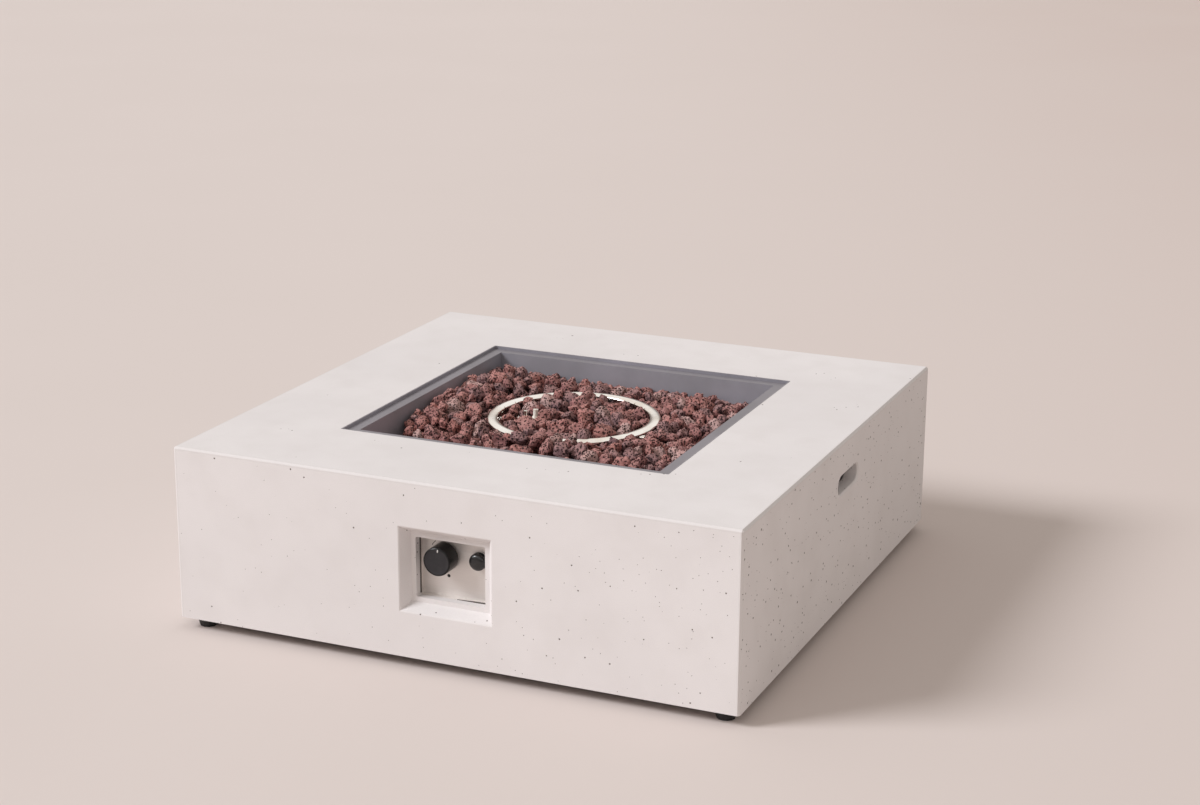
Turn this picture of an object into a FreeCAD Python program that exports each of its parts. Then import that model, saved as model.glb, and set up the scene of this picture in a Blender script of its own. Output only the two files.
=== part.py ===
import FreeCAD, Part
import Sketcher
import math
import os
import random
import re
from FreeCAD import Placement, Rotation, Vector

# Square gas fire table: a cast concrete shell on levelling feet, with a drop-in burner pan of lava rock in
# its top and a control niche in its front. Millimetres and degrees. +Z is up, the niche faces -Y, and the
# origin is on the floor under the table's centre.

doc = FreeCAD.newDocument("gas_fire_table")

SIZES = {
    # cast shell
    "table_width": 900,
    "table_depth": 900,
    "shell_height": 270,
    "wall": 22,
    "top_thickness": 28,
    "edge_bevel": 3,
    "cavity_corner_round": 14,
    "opening_corner_round": 2,
    "corner_block": 42,
    "corner_block_height": 55,
    # control niche in the front wall
    "niche_width": 147,
    "niche_height": 129,
    "niche_bevel": 11,
    "niche_depth": 18,
    "niche_wall": 30,
    "niche_rim_bevel": 1.2,
    "panel_hole_width": 111,
    "panel_hole_height": 92,
    "panel_hole_round": 3,
    "boss_margin": 12,
    # carrying slots in the side walls
    "slot_length": 99,
    "slot_height": 28.5,
    "slot_below_top": 68.5,
    "slot_offset": 17,
    "slot_bevel": 2.5,
    # levelling feet
    "foot_height": 18,
    "foot_inset": 30,
    "foot_top_width": 36,
    "foot_taper": 14,
    "foot_gap": 0.2,
    "stud_diameter": 8,
    "stud_engagement": 34,
    "stud_seat": 11,
    "stud_gap": 0.05,
    "stud_tip_gap": 2,
    # burner pan
    "pan_width": 536,
    "pan_gap": 0.75,
    "pan_lip": 4.7,
    "pan_ledge": 21,
    "pan_depth": 57,
    "pan_draft": 7,
    "pan_sheet": 1.5,
    "opening_gap": 3,
    "drain_length": 20,
    "drain_width": 6,
    "drain_inset": 60,
    # ring burner
    "ring_diameter": 276,
    "ring_tube_width": 18,
    "ring_tube_height": 9,
    "ring_tube_wall": 1.5,
    "ring_above_floor": 43.7,
    "ring_ports": 12,
    "ring_port_width": 1.2,
    "ring_port_height": 4,
    "feed_diameter": 14,
    "feed_drop": 16,
    "riser_diameter": 12,
    "hub_diameter": 30,
    "hub_height": 20,
    # gas line
    "nipple_diameter": 21,
    "nipple_bore": 15,
    "nipple_below_pan": 26,
    "nipple_in_hub": 9,
    "locknut_width": 30,
    "locknut_height": 6,
    "mixer_diameter": 28,
    "mixer_socket": 13,
    "mixer_neck": 24,
    "mixer_window": 7,
    "mixer_orifice": 3,
    "flare_thread_diameter": 15.88,
    "flare_thread": 14,
    "flare_nut_width": 19,
    "flare_nut_height": 17,
    "tube_diameter": 10,
    # control panel tray
    "panel_setback": 40,
    "panel_sheet": 1.5,
    "panel_flange": 13.5,
    # control knob and gas valve
    "control_rise": 15.5,
    "knob_offset": -17.5,
    "knob_diameter": 43,
    "knob_proud": 32,
    "knob_gap": 4,
    "knob_travel": 3,
    "stem_diameter": 8,
    "stem_flat": 1.5,
    "stem_grip": 14,
    "stem_flange_diameter": 12,
    "stem_flange": 2,
    "running_gap": 0.05,
    "stop_gap": 0.3,
    "panel_stem_hole": 12,
    "bonnet_length": 50,
    "bonnet_width": 26,
    "bonnet_thickness": 3,
    "valve_width": 26,
    "valve_length": 42,
    "chamber_diameter": 18,
    "chamber_depth": 16,
    "stem_well": 8,
    "collar_width": 12,
    "collar_thickness": 2.5,
    "stem_spring_diameter": 12.4,
    "spring_wire": 1.2,
    "spring_turns": 3,
    "spring_flats": 8,
    "port_setback": 29,
    "inlet_boss_width": 20,
    "inlet_boss": 30,
    "inlet_hex": 22,
    "inlet_hex_height": 9,
    "inlet_bore": 9,
    "outlet_boss_width": 17,
    "outlet_boss": 26,
    "magnet_diameter": 17,
    "magnet_length": 24,
    "magnet_nut_width": 10,
    "magnet_nut": 8,
    # igniter
    "igniter_offset": 36,
    "button_diameter": 26,
    "button_proud": 13,
    "button_skin": 2,
    "button_gap": 3.2,
    "igniter_flange": 2,
    "igniter_diameter": 22,
    "igniter_neck_diameter": 20,
    "igniter_neck": 5.6,
    "igniter_bore": 16,
    "igniter_length": 62,
    "igniter_nut_width": 27,
    "igniter_nut_height": 6,
    "plunger_diameter": 6,
    "plunger_length": 12,
    "battery_diameter": 14.2,
    "battery_length": 49,
    "terminal_width": 6.3,
    "terminal_thickness": 0.8,
    "terminal_length": 9,
    # pilot
    "electrode_x": -59.5,
    "electrode_y": -14.5,
    "electrode_diameter": 8,
    "electrode_rise": 6,
    "electrode_below_pan": 22,
    "electrode_flange_diameter": 11,
    "electrode_flange": 3,
    "rod_diameter": 2,
    "rod_rise": 5,
    "probe_spacing": 18,
    "probe_diameter": 6,
    "probe_rise": 10,
    "probe_below_shelf": 12,
    "pilot_width": 44,
    "pilot_height": 35,
    "pilot_foot": 26,
    "pilot_shelf": 18,
    "pilot_sheet": 1.5,
    "lead_diameter": 2.6,
    "wire_diameter": 3.2,
    # lava rock
    "rock_pitch": 52,
    "rock_gap": 0.4,
    "bed_edge_height": 27,
    "bed_crown_height": 42,
}

sheet = doc.addObject("Spreadsheet::Sheet", "sizes")
for row, (alias, value) in enumerate(SIZES.items(), start=1):
    sheet.set(f"A{row}", alias)
    sheet.set(f"B{row}", str(value))
    sheet.setAlias(f"B{row}", alias)
doc.recompute()

# Places that many pieces share, as expressions on the sizes.
TOP = "(foot_height + shell_height)"
FRONT = "(-table_depth / 2)"
LEDGE = f"({TOP} - pan_lip)"
MOUTH = "(pan_width / 2 - pan_ledge)"
PAN_FLOOR = f"({LEDGE} - pan_depth)"
PAN_UNDERSIDE = f"({PAN_FLOOR} - pan_sheet)"
NICHE_Z = "(foot_height + shell_height / 2)"
PANEL_FACE = f"({FRONT} + panel_setback)"
PANEL_BACK = f"({PANEL_FACE} + panel_sheet)"
BOSS_BACK = f"({FRONT} + niche_wall)"
CONTROL_Z = f"({NICHE_Z} + control_rise)"
RING_TOP = f"({PAN_FLOOR} + ring_above_floor)"
FEED_Z = f"({RING_TOP} - ring_tube_height - feed_drop)"
HUB_TOP = f"({FEED_Z} + feed_diameter / 2 + ring_tube_wall)"
HUB_BOTTOM = f"({HUB_TOP} - hub_height)"
NIPPLE_BOTTOM = f"({PAN_UNDERSIDE} - nipple_below_pan)"
MIXER_BOTTOM = f"({NIPPLE_BOTTOM} - mixer_neck)"
SHELF_Z = f"({PAN_FLOOR} + pilot_height)"

DOWN = Rotation(Vector(1, 0, 0), 180)
INWARD = Rotation(Vector(1, 0, 0), -90)
LEFTWARD = Rotation(Vector(0, 1, 0), -90)
UPWARD = Rotation()


def cells(text):
    """Point each size's name in an expression at its cell in the sheet."""
    return re.sub(r"[a-z]\w*", lambda word: f"sizes.{word[0]}" if word[0] in SIZES else word[0], text)


def number(text):
    result = sheet.evalExpression(cells(text))
    return float(getattr(result, "Value", result))


def point(x, y, z):
    return Vector(number(x), number(y), number(z))


def bind(item, prop, text):
    item.setExpression(prop, cells(text))


def place(item, x="0", y="0", z="0", turn=UPWARD):
    item.Placement = Placement(Vector(), turn)
    bind(item, "Placement.Base.x", x)
    bind(item, "Placement.Base.y", y)
    bind(item, "Placement.Base.z", z)
    return item


nodes = []


def node(item, label):
    """Count a finished piece as one of the table's sub-parts."""
    item.Label = label
    nodes.append(item)
    return item


# Sketches: each outline is a list of stations, (x, y) where a straight edge leaves, or (x, y, cx, cy, way)
# where an arc about (cx, cy) leaves, way being 1 for anticlockwise and -1 for clockwise.


def blank(label):
    """A body that a piece's own solids are cut from."""
    body = doc.addObject("PartDesign::Body", f"{label}_body")
    body.AllowCompound = True
    body.Label = label
    return body


def new_body(label):
    return node(blank(label), label)


def origin_part(body, role):
    return next(item for item in body.Origin.OriginFeatures if item.Role == role)


def new_sketch(body, role, offset="0"):
    sketch = body.newObject("Sketcher::SketchObject", f"{body.Label}_sketch")
    sketch.AttachmentSupport = [(origin_part(body, role), "")]
    sketch.MapMode = "FlatFace"
    bind(sketch, "AttachmentOffset.Base.z", offset)
    return sketch


def constrain(sketch, kind, *args):
    """Add a dimension whose value, the last argument, stays bound to the sheet."""
    *places, text = args
    index = sketch.addConstraint(Sketcher.Constraint(kind, *places, number(text)))
    sketch.setExpression(f"Constraints[{index}]", cells(text))


def outline(sketch, stations):
    first = sketch.GeometryCount
    count = len(stations)
    points = [Vector(number(s[0]), number(s[1]), 0) for s in stations]
    ends = []
    for i, station in enumerate(stations):
        a, b = points[i], points[(i + 1) % count]
        if len(station) == 2:
            sketch.addGeometry(Part.LineSegment(a, b))
            ends.append((1, 2))
            continue
        centre = Vector(number(station[2]), number(station[3]), 0)
        turn = station[4]
        from_point, to_point = (a, b) if turn > 0 else (b, a)
        start = math.atan2(from_point.y - centre.y, from_point.x - centre.x)
        stop = math.atan2(to_point.y - centre.y, to_point.x - centre.x)
        while stop <= start:
            stop += 2 * math.pi
        circle_of_arc = Part.Circle(centre, Vector(0, 0, 1), (a - centre).Length)
        sketch.addGeometry(Part.ArcOfCircle(circle_of_arc, start, stop))
        ends.append((1, 2) if turn > 0 else (2, 1))
    for i in range(count):
        j = (i + 1) % count
        sketch.addConstraint(Sketcher.Constraint("Coincident", first + i, ends[i][1], first + j, ends[j][0]))
    for i, station in enumerate(stations):
        constrain(sketch, "DistanceX", -1, 1, first + i, ends[i][0], station[0])
        constrain(sketch, "DistanceY", -1, 1, first + i, ends[i][0], station[1])
        if len(station) > 2:
            a, b = points[i], points[(i + 1) % count]
            level = abs(b.y - a.y) < abs(b.x - a.x)
            kind, text = ("DistanceY", station[3]) if level else ("DistanceX", station[2])
            constrain(sketch, kind, -1, 1, first + i, 3, text)


def circle(sketch, x, y, diameter):
    ring = Part.Circle(Vector(number(x), number(y), 0), Vector(0, 0, 1), number(diameter) / 2)
    edge = sketch.addGeometry(ring)
    constrain(sketch, "DistanceX", -1, 1, edge, 3, x)
    constrain(sketch, "DistanceY", -1, 1, edge, 3, y)
    constrain(sketch, "Diameter", edge, diameter)


def rectangle(x, y, width, depth):
    """Stations of a rectangle about the centre (x, y)."""
    left, right = f"{x} - ({width}) / 2", f"{x} + ({width}) / 2"
    low, high = f"{y} - ({depth}) / 2", f"{y} + ({depth}) / 2"
    return [(left, low), (right, low), (right, high), (left, high)]


def rounded_rectangle(x, y, width, depth, radius):
    left, right = f"{x} - ({width}) / 2", f"{x} + ({width}) / 2"
    low, high = f"{y} - ({depth}) / 2", f"{y} + ({depth}) / 2"
    return [
        (f"{left} + {radius}", low),
        (f"{right} - {radius}", low, f"{right} - {radius}", f"{low} + {radius}", 1),
        (right, f"{low} + {radius}"),
        (right, f"{high} - {radius}", f"{right} - {radius}", f"{high} - {radius}", 1),
        (f"{right} - {radius}", high),
        (f"{left} + {radius}", high, f"{left} + {radius}", f"{high} - {radius}", 1),
        (left, f"{high} - {radius}"),
        (left, f"{low} + {radius}", f"{left} + {radius}", f"{low} + {radius}", 1),
    ]


def obround(x, y, length, height):
    """Stations of a slot with round ends, long in the sketch's x."""
    left, right = f"{x} - ({length} - {height}) / 2", f"{x} + ({length} - {height}) / 2"
    low, high = f"{y} - {height} / 2", f"{y} + {height} / 2"
    return [
        (left, low),
        (right, low, right, y, 1),
        (right, high),
        (left, high, left, y, 1),
    ]


def hexagon(x, y, across_flats):
    """Stations of a hexagon with two of its corners on the sketch's x direction."""
    reach = f"({across_flats}) / sqrt(3)"
    half_side = f"({across_flats}) / sqrt(3) / 2"
    half_flat = f"({across_flats}) / 2"
    steps = [(1, 0), (1, 1), (-1, 1), (-1, 0), (-1, -1), (1, -1)]
    return [(f"{x} + {a} * {half_side if b else reach}", f"{y} + {b} * {half_flat}") for a, b in steps]


def corners(x, y):
    """The four places that mirror (x, y) about the sketch's axes."""
    return [(f"{a} * ({x})", f"{b} * ({y})") for a, b in ((-1, -1), (1, -1), (1, 1), (-1, 1))]


def pad(body, sketch, length, reverse=False):
    item = body.newObject("PartDesign::Pad", f"{body.Label}_pad")
    item.Profile = sketch
    item.Reversed = reverse
    bind(item, "Length", length)
    doc.recompute()
    return item


def pocket(body, sketch, length, reverse=False):
    """Cut a sketch into its body, against the sketch's normal or, reversed, along it."""
    before = body.Shape.Volume
    item = body.newObject("PartDesign::Pocket", f"{body.Label}_pocket")
    item.Profile = sketch
    item.Reversed = reverse
    bind(item, "Length", length)
    doc.recompute()
    if not body.Shape.Volume < before - 1e-3:
        raise ValueError(f"{item.Label} cuts nothing")
    return item


def loft(body, kind, lower, upper):
    item = body.newObject(f"PartDesign::{kind}", f"{body.Label}_loft")
    item.Profile = lower
    item.Sections = [upper]
    item.Ruled = True
    doc.recompute()
    return item


def revolve(body, sketch):
    item = body.newObject("PartDesign::Revolution", f"{body.Label}_turn")
    item.Profile = sketch
    item.ReferenceAxis = (sketch, ["V_Axis"])
    item.Angle = 360
    doc.recompute()
    return item


def bevelled(body, size, choose):
    """Bevel the edges of a body that choose(edge) picks."""
    base = body.Tip
    names = [f"Edge{i}" for i, edge in enumerate(base.Shape.Edges, start=1) if choose(edge)]
    item = body.newObject("PartDesign::Chamfer", f"{body.Label}_edges")
    item.Base = (base, names)
    bind(item, "Size", size)
    doc.recompute()
    return item


def drafted(body, angle, choose):
    """Lean the flat sides of a body that choose(face) picks, in towards the floor, about their top edges."""
    base = body.Tip
    faces = list(enumerate(base.Shape.Faces, start=1))
    sides = [i for i, face in faces if choose(face)]
    flats = [i for i, face in faces if face.BoundBox.ZLength < 1e-6]
    top = max(flats, key=lambda i: base.Shape.Faces[i - 1].BoundBox.ZMax)
    item = body.newObject("PartDesign::Draft", f"{body.Label}_draft")
    item.Base = (base, [f"Face{i}" for i in sides])
    item.NeutralPlane = (base, [f"Face{top}"])
    item.Reversed = True
    bind(item, "Angle", angle)
    doc.recompute()
    return item


def turned(label, stations, **spot):
    """A turned piece about its own upright axis: stations give radius and height."""
    body = new_body(label)
    sketch = new_sketch(body, "XZ_Plane")
    outline(sketch, stations)
    revolve(body, sketch)
    place(body, **spot)
    return body


def turned_inward(label, stations, offset):
    """A turned piece about a control's axis: stations give radius and depth behind the panel's face."""
    body = new_body(label)
    sketch = new_sketch(body, "XY_Plane")
    outline(sketch, stations)
    revolve(body, sketch)
    place(body, offset, PANEL_FACE, CONTROL_Z)
    return body


def rod(diameter, length, x, y, z, turn=UPWARD):
    item = doc.addObject("Part::Cylinder", "rod")
    place(item, x, y, z, turn)
    bind(item, "Radius", f"({diameter}) / 2")
    bind(item, "Height", length)
    return item


def prism(across_flats, length, x, y, z, turn=UPWARD):
    item = doc.addObject("Part::Prism", "hexagon")
    item.Polygon = 6
    place(item, x, y, z, turn)
    bind(item, "Circumradius", f"({across_flats}) / sqrt(3)")
    bind(item, "Height", length)
    return item


def block(width, depth, height, x, y, z):
    """A block centred on (x, z) whose front face is at y."""
    item = doc.addObject("Part::Box", "block")
    place(item, f"{x} - ({width}) / 2", y, f"{z} - ({height}) / 2")
    bind(item, "Length", width)
    bind(item, "Width", depth)
    bind(item, "Height", height)
    return item


def joined(items):
    item = doc.addObject("Part::MultiFuse", "joined")
    item.Shapes = items
    return item


def bored(item, tools):
    cut = doc.addObject("Part::Cut", "bored")
    cut.Base = item
    cut.Tool = joined(tools) if len(tools) > 1 else tools[0]
    return cut


# ---------------------------------------------------------------- concrete shell
# One hollow casting, open below. Its top is thicker than its walls, blocks in its corners take the feet, and
# the front wall thickens round the control niche.

shell = new_body("concrete_shell")
plan = new_sketch(shell, "XY_Plane", "foot_height")
outline(plan, rectangle("0", "0", "table_width", "table_depth"))
pad(shell, plan, "shell_height")
shell_bottom = number("foot_height")
bevelled(shell, "edge_bevel", lambda edge: edge.BoundBox.ZMax > shell_bottom + 1)

cavity = new_sketch(shell, "XY_Plane", "foot_height")
inner = ("table_width - 2 * wall", "table_depth - 2 * wall")
outline(cavity, rounded_rectangle("0", "0", *inner, "cavity_corner_round"))
pocket(shell, cavity, "shell_height - top_thickness", reverse=True)

blocks = new_sketch(shell, "XY_Plane", "foot_height")
for side, end in ((-1, -1), (1, -1), (1, 1), (-1, 1)):
    wall_x = f"{side} * (table_width / 2 - wall / 2)"
    wall_y = f"{end} * (table_depth / 2 - wall / 2)"
    face_x = f"{side} * (table_width / 2 - wall - corner_block)"
    face_y = f"{end} * (table_depth / 2 - wall - corner_block)"
    cut_x = f"{side} * (table_width / 2 - wall - corner_block / 2)"
    cut_y = f"{end} * (table_depth / 2 - wall - corner_block / 2)"
    outline(blocks, [(wall_x, wall_y), (face_x, wall_y), (face_x, cut_y), (cut_x, face_y), (wall_x, face_y)])
pad(shell, blocks, "corner_block_height")

boss = new_sketch(shell, "XZ_Plane", f"-{BOSS_BACK}")
boss_size = ("niche_width + 2 * boss_margin", "niche_height + 2 * boss_margin")
outline(boss, rounded_rectangle("0", NICHE_Z, *boss_size, "boss_margin"))
pad(shell, boss, "niche_wall - wall / 2")

mouth = new_sketch(shell, "XZ_Plane", f"-{FRONT}")
outline(mouth, rectangle("0", NICHE_Z, "niche_width", "niche_height"))
throat = new_sketch(shell, "XZ_Plane", f"-({FRONT} + niche_depth)")
throat_size = ("niche_width - 2 * niche_bevel", "niche_height - 2 * niche_bevel")
outline(throat, rectangle("0", NICHE_Z, *throat_size))
loft(shell, "SubtractiveLoft", mouth, throat)

panel_hole = new_sketch(shell, "XZ_Plane", f"-({FRONT} + niche_depth)")
hole_size = ("panel_hole_width", "panel_hole_height")
outline(panel_hole, rounded_rectangle("0", NICHE_Z, *hole_size, "panel_hole_round"))
pocket(shell, panel_hole, "niche_wall")

opening = new_sketch(shell, "XY_Plane", TOP)
opening_width = f"2 * ({MOUTH} + pan_sheet + opening_gap)"
outline(opening, rounded_rectangle("0", "0", opening_width, opening_width, "opening_corner_round"))
pocket(shell, opening, "2 * top_thickness")

rebate = new_sketch(shell, "XY_Plane", TOP)
rebate_width = "pan_width + 2 * pan_gap"
outline(rebate, rounded_rectangle("0", "0", rebate_width, rebate_width, "opening_corner_round"))
pocket(shell, rebate, "pan_lip + pan_sheet")

slots = new_sketch(shell, "YZ_Plane", "table_width")
outline(slots, obround("slot_offset", f"({TOP} - slot_below_top)", "slot_length", "slot_height"))
pocket(shell, slots, "2 * table_width")

foot_bores = new_sketch(shell, "XY_Plane", "foot_height")
for x, y in corners("table_width / 2 - foot_inset", "table_depth / 2 - foot_inset"):
    circle(foot_bores, x, y, "stud_diameter + 2 * stud_gap")
pocket(shell, foot_bores, "stud_engagement + stud_tip_gap", reverse=True)

half_width, half_depth = number("table_width / 2"), number("table_depth / 2")
niche_low, niche_high = number(f"{NICHE_Z} - niche_height / 2"), number(f"{NICHE_Z} + niche_height / 2")


def on_slot_rim(edge):
    box = edge.BoundBox
    flat = box.XLength < 1e-3 and abs(abs(box.XMin) - half_width) < 1e-3
    return flat and box.YLength < number("slot_length") and box.ZLength < number("slot_length")


def on_niche_rim(edge):
    box = edge.BoundBox
    flat = box.YLength < 1e-3 and abs(box.YMin + half_depth) < 1e-3
    return flat and box.ZMin > niche_low - 1 and box.ZMax < niche_high + 1


bevelled(shell, "slot_bevel", on_slot_rim)
bevelled(shell, "niche_rim_bevel", on_niche_rim)

# ---------------------------------------------------------------- levelling feet
# Each foot is a pad moulded on a threaded stud, screwed fully home into its corner block. The pad tapers to
# its sole and has twelve flats to grip it by.

CROWN = "(foot_height - foot_gap)"
SOCKET = "(foot_height - foot_gap - stud_seat)"
STUD_TIP = "(foot_height + stud_engagement)"


def twelve_flats(width):
    """Stations of a regular twelve-sided outline from its width across corners."""
    return [(f"({width}) / 2 * cos({30 * i} deg)", f"({width}) / 2 * sin({30 * i} deg)") for i in range(12)]


feet = [("front_left", -1, -1), ("front_right", 1, -1), ("back_right", 1, 1), ("back_left", -1, 1)]
for name, side, end in feet:
    spot = {
        "x": f"{side} * (table_width / 2 - foot_inset)",
        "y": f"{end} * (table_depth / 2 - foot_inset)",
    }
    foot = new_body(f"foot_pad_{name}")
    brim = new_sketch(foot, "XY_Plane")
    outline(brim, twelve_flats("foot_top_width"))
    pad(foot, brim, CROWN)
    drafted(foot, "foot_taper", lambda face: face.BoundBox.ZLength > 1)
    seat = new_sketch(foot, "XY_Plane", CROWN)
    circle(seat, "0", "0", "stud_diameter")
    pocket(foot, seat, "stud_seat")
    place(foot, **spot)
    turned(
        f"foot_stud_{name}",
        [
            ("0", SOCKET),
            ("stud_diameter / 2", SOCKET),
            ("stud_diameter / 2", STUD_TIP),
            ("0", STUD_TIP),
        ],
        **spot,
    )

# ---------------------------------------------------------------- burner pan
# Sheet steel in five panels, seam-welded where they meet: a floor with holes for the burner, the pilot and
# drainage, and four sides mitred at the corners, each folded to a drafted wall, a ledge that rests in the
# rebate, and an upturned lip flush with the table's top.

pan = blank("pan_blank")


def pan_square(z, width):
    sketch = new_sketch(pan, "XY_Plane", z)
    outline(sketch, rectangle("0", "0", width, width))
    return sketch


rim = pad(pan, pan_square(f"({LEDGE} - pan_sheet)", "pan_width"), "pan_lip + pan_sheet")
SLOPE = "tan(pan_draft * 1 deg)"
under_width = f"2 * ({MOUTH} + pan_sheet)"
well_width = f"2 * ({MOUTH} + pan_sheet - pan_depth * {SLOPE})"
LEDGE_UNDERSIDE = f"({LEDGE} - pan_sheet)"
loft(pan, "AdditiveLoft", pan_square(PAN_UNDERSIDE, well_width), pan_square(LEDGE_UNDERSIDE, under_width))
pocket(pan, pan_square(TOP, "pan_width - 2 * pan_sheet"), "pan_lip")
floor_width = f"2 * ({MOUTH} - pan_depth * {SLOPE})"
loft(pan, "SubtractiveLoft", pan_square(PAN_FLOOR, floor_width), pan_square(LEDGE, f"2 * {MOUTH}"))

ELECTRODE = ("electrode_x", "electrode_y")
PROBE = ("electrode_x - probe_spacing", "electrode_y")
PILOT_X = "(electrode_x - probe_spacing / 2)"
PILOT_BACK = "(electrode_y + 6.5)"
PILOT_RISER = f"({PILOT_BACK} - pilot_shelf)"

pan_holes = new_sketch(pan, "XY_Plane", PAN_FLOOR)
circle(pan_holes, "0", "0", "nipple_diameter")
circle(pan_holes, *ELECTRODE, "electrode_diameter + 4")
circle(pan_holes, *PROBE, "probe_diameter + 2")
for x, y in corners(f"{MOUTH} - drain_inset", f"{MOUTH} - drain_inset"):
    outline(pan_holes, rectangle(x, y, "drain_length", "drain_width"))
pocket(pan, pan_holes, "2 * pan_sheet")

cutters = [block("pan_width", "pan_width", "pan_sheet", "0", "-pan_width / 2", f"{PAN_FLOOR} - pan_sheet / 2")]
for angle in (-45, 45, 135, 225):
    quarter = doc.addObject("Part::Box", "mitre")
    place(quarter, z=PAN_FLOOR, turn=Rotation(Vector(0, 0, 1), angle))
    bind(quarter, "Length", "pan_width")
    bind(quarter, "Width", "pan_width")
    bind(quarter, "Height", "pan_depth + pan_lip")
    cutters.append(quarter)
panels = []
for cutter in cutters:
    panel = doc.addObject("Part::MultiCommon", "pan_panel")
    panel.Shapes = [pan, cutter]
    panels.append(panel)
welded_pan = doc.addObject("Part::Compound", "welded_pan")
welded_pan.Links = panels
node(welded_pan, "burner_pan")

# ---------------------------------------------------------------- ring burner
# A flat stainless tube bent into a ring, fed through two risers by a cross tube and a hub below it. The
# flames come from slits sawn round the ring's inner side.

ring = new_body("ring_burner")
section = new_sketch(ring, "XZ_Plane")
TUBE_X = "(ring_diameter - ring_tube_width) / 2"
TUBE_Z = f"({RING_TOP} - ring_tube_height / 2)"
outline(section, rectangle(TUBE_X, TUBE_Z, "ring_tube_width", "ring_tube_height"))
hollow = ("ring_tube_width - 2 * ring_tube_wall", "ring_tube_height - 2 * ring_tube_wall")
outline(section, rectangle(TUBE_X, TUBE_Z, *hollow))
revolve(ring, section)

FEED_REACH = f"({TUBE_X} + riser_diameter / 2 + ring_tube_wall)"
feed = new_sketch(ring, "YZ_Plane", f"-{FEED_REACH}")
circle(feed, "0", FEED_Z, "feed_diameter")
pad(ring, feed, f"2 * {FEED_REACH}")
risers = new_sketch(ring, "XY_Plane", FEED_Z)
for side in (-1, 1):
    circle(risers, f"{side} * {TUBE_X}", "0", "riser_diameter")
pad(ring, risers, f"{RING_TOP} - ring_tube_height - {FEED_Z}")
hub = new_sketch(ring, "XY_Plane", HUB_BOTTOM)
circle(hub, "0", "0", "hub_diameter")
pad(ring, hub, "hub_height")
socket = new_sketch(ring, "XY_Plane", HUB_BOTTOM)
circle(socket, "0", "0", "nipple_diameter")
pocket(ring, socket, "nipple_in_hub", reverse=True)
riser = new_sketch(ring, "XY_Plane", HUB_BOTTOM)
circle(riser, "0", "0", "nipple_bore - 2")
pocket(ring, riser, "hub_height - ring_tube_wall", reverse=True)
feed_bore = new_sketch(ring, "YZ_Plane", f"-{TUBE_X} + ring_tube_wall")
circle(feed_bore, "0", FEED_Z, "feed_diameter - 2 * ring_tube_wall")
pocket(ring, feed_bore, f"2 * ({TUBE_X} - ring_tube_wall)", reverse=True)

riser_bores = new_sketch(ring, "XY_Plane", FEED_Z)
for side in (-1, 1):
    circle(riser_bores, f"{side} * {TUBE_X}", "0", "riser_diameter - 2 * ring_tube_wall")
pocket(ring, riser_bores, f"{TUBE_Z} - {FEED_Z}", reverse=True)

port = new_sketch(ring, "YZ_Plane", f"{TUBE_X} - ring_tube_width / 2 - 2")
outline(port, rectangle("0", TUBE_Z, "ring_port_width", "ring_port_height"))
first_port = pocket(ring, port, "4", reverse=True)
ports = ring.newObject("PartDesign::PolarPattern", "ring_port_pattern")
ports.Originals = [first_port]
ports.Axis = (origin_part(ring, "Z_Axis"), [""])
ports.Angle = 360
bind(ports, "Occurrences", "ring_ports")
ring.Tip = ports
doc.recompute()

turned(
    "burner_nipple",
    [
        ("nipple_bore / 2", NIPPLE_BOTTOM),
        ("nipple_diameter / 2", NIPPLE_BOTTOM),
        ("nipple_diameter / 2", f"{HUB_BOTTOM} + nipple_in_hub"),
        ("nipple_bore / 2", f"{HUB_BOTTOM} + nipple_in_hub"),
    ],
)

nuts = new_body("nipple_locknuts")
for start in (PAN_FLOOR, f"({PAN_UNDERSIDE} - locknut_height)"):
    face = new_sketch(nuts, "XY_Plane", start)
    outline(face, hexagon("0", "0", "locknut_width"))
    circle(face, "0", "0", "nipple_diameter")
    pad(nuts, face, "locknut_height")

# Air mixer: a turned brass body on the nipple, cross-drilled with an air window over the gas orifice.
mixer = new_body("air_mixer")
form = new_sketch(mixer, "XZ_Plane")
SOCKET_TOP = f"({NIPPLE_BOTTOM} + mixer_socket)"
outline(
    form,
    [
        ("mixer_orifice / 2", f"{MIXER_BOTTOM} - flare_thread"),
        ("flare_thread_diameter / 2", f"{MIXER_BOTTOM} - flare_thread"),
        ("flare_thread_diameter / 2", MIXER_BOTTOM),
        ("mixer_diameter / 2", MIXER_BOTTOM),
        ("mixer_diameter / 2", SOCKET_TOP),
        ("nipple_diameter / 2", SOCKET_TOP),
        ("nipple_diameter / 2", NIPPLE_BOTTOM),
        ("nipple_bore / 2 - 1", NIPPLE_BOTTOM),
        ("nipple_bore / 2 - 1", f"{MIXER_BOTTOM} + 5"),
        ("mixer_orifice / 2", f"{MIXER_BOTTOM} + 5"),
    ],
)
revolve(mixer, form)
WINDOW_Z = f"({MIXER_BOTTOM} + mixer_neck / 2)"
window = new_sketch(mixer, "YZ_Plane", "mixer_diameter")
circle(window, "0", WINDOW_Z, "mixer_window")
pocket(mixer, window, "2 * mixer_diameter")

# ---------------------------------------------------------------- control panel
# A stainless tray folded behind the niche: a flange against the casting, shallow sides and the plate that
# carries the valve and the igniter.

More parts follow.
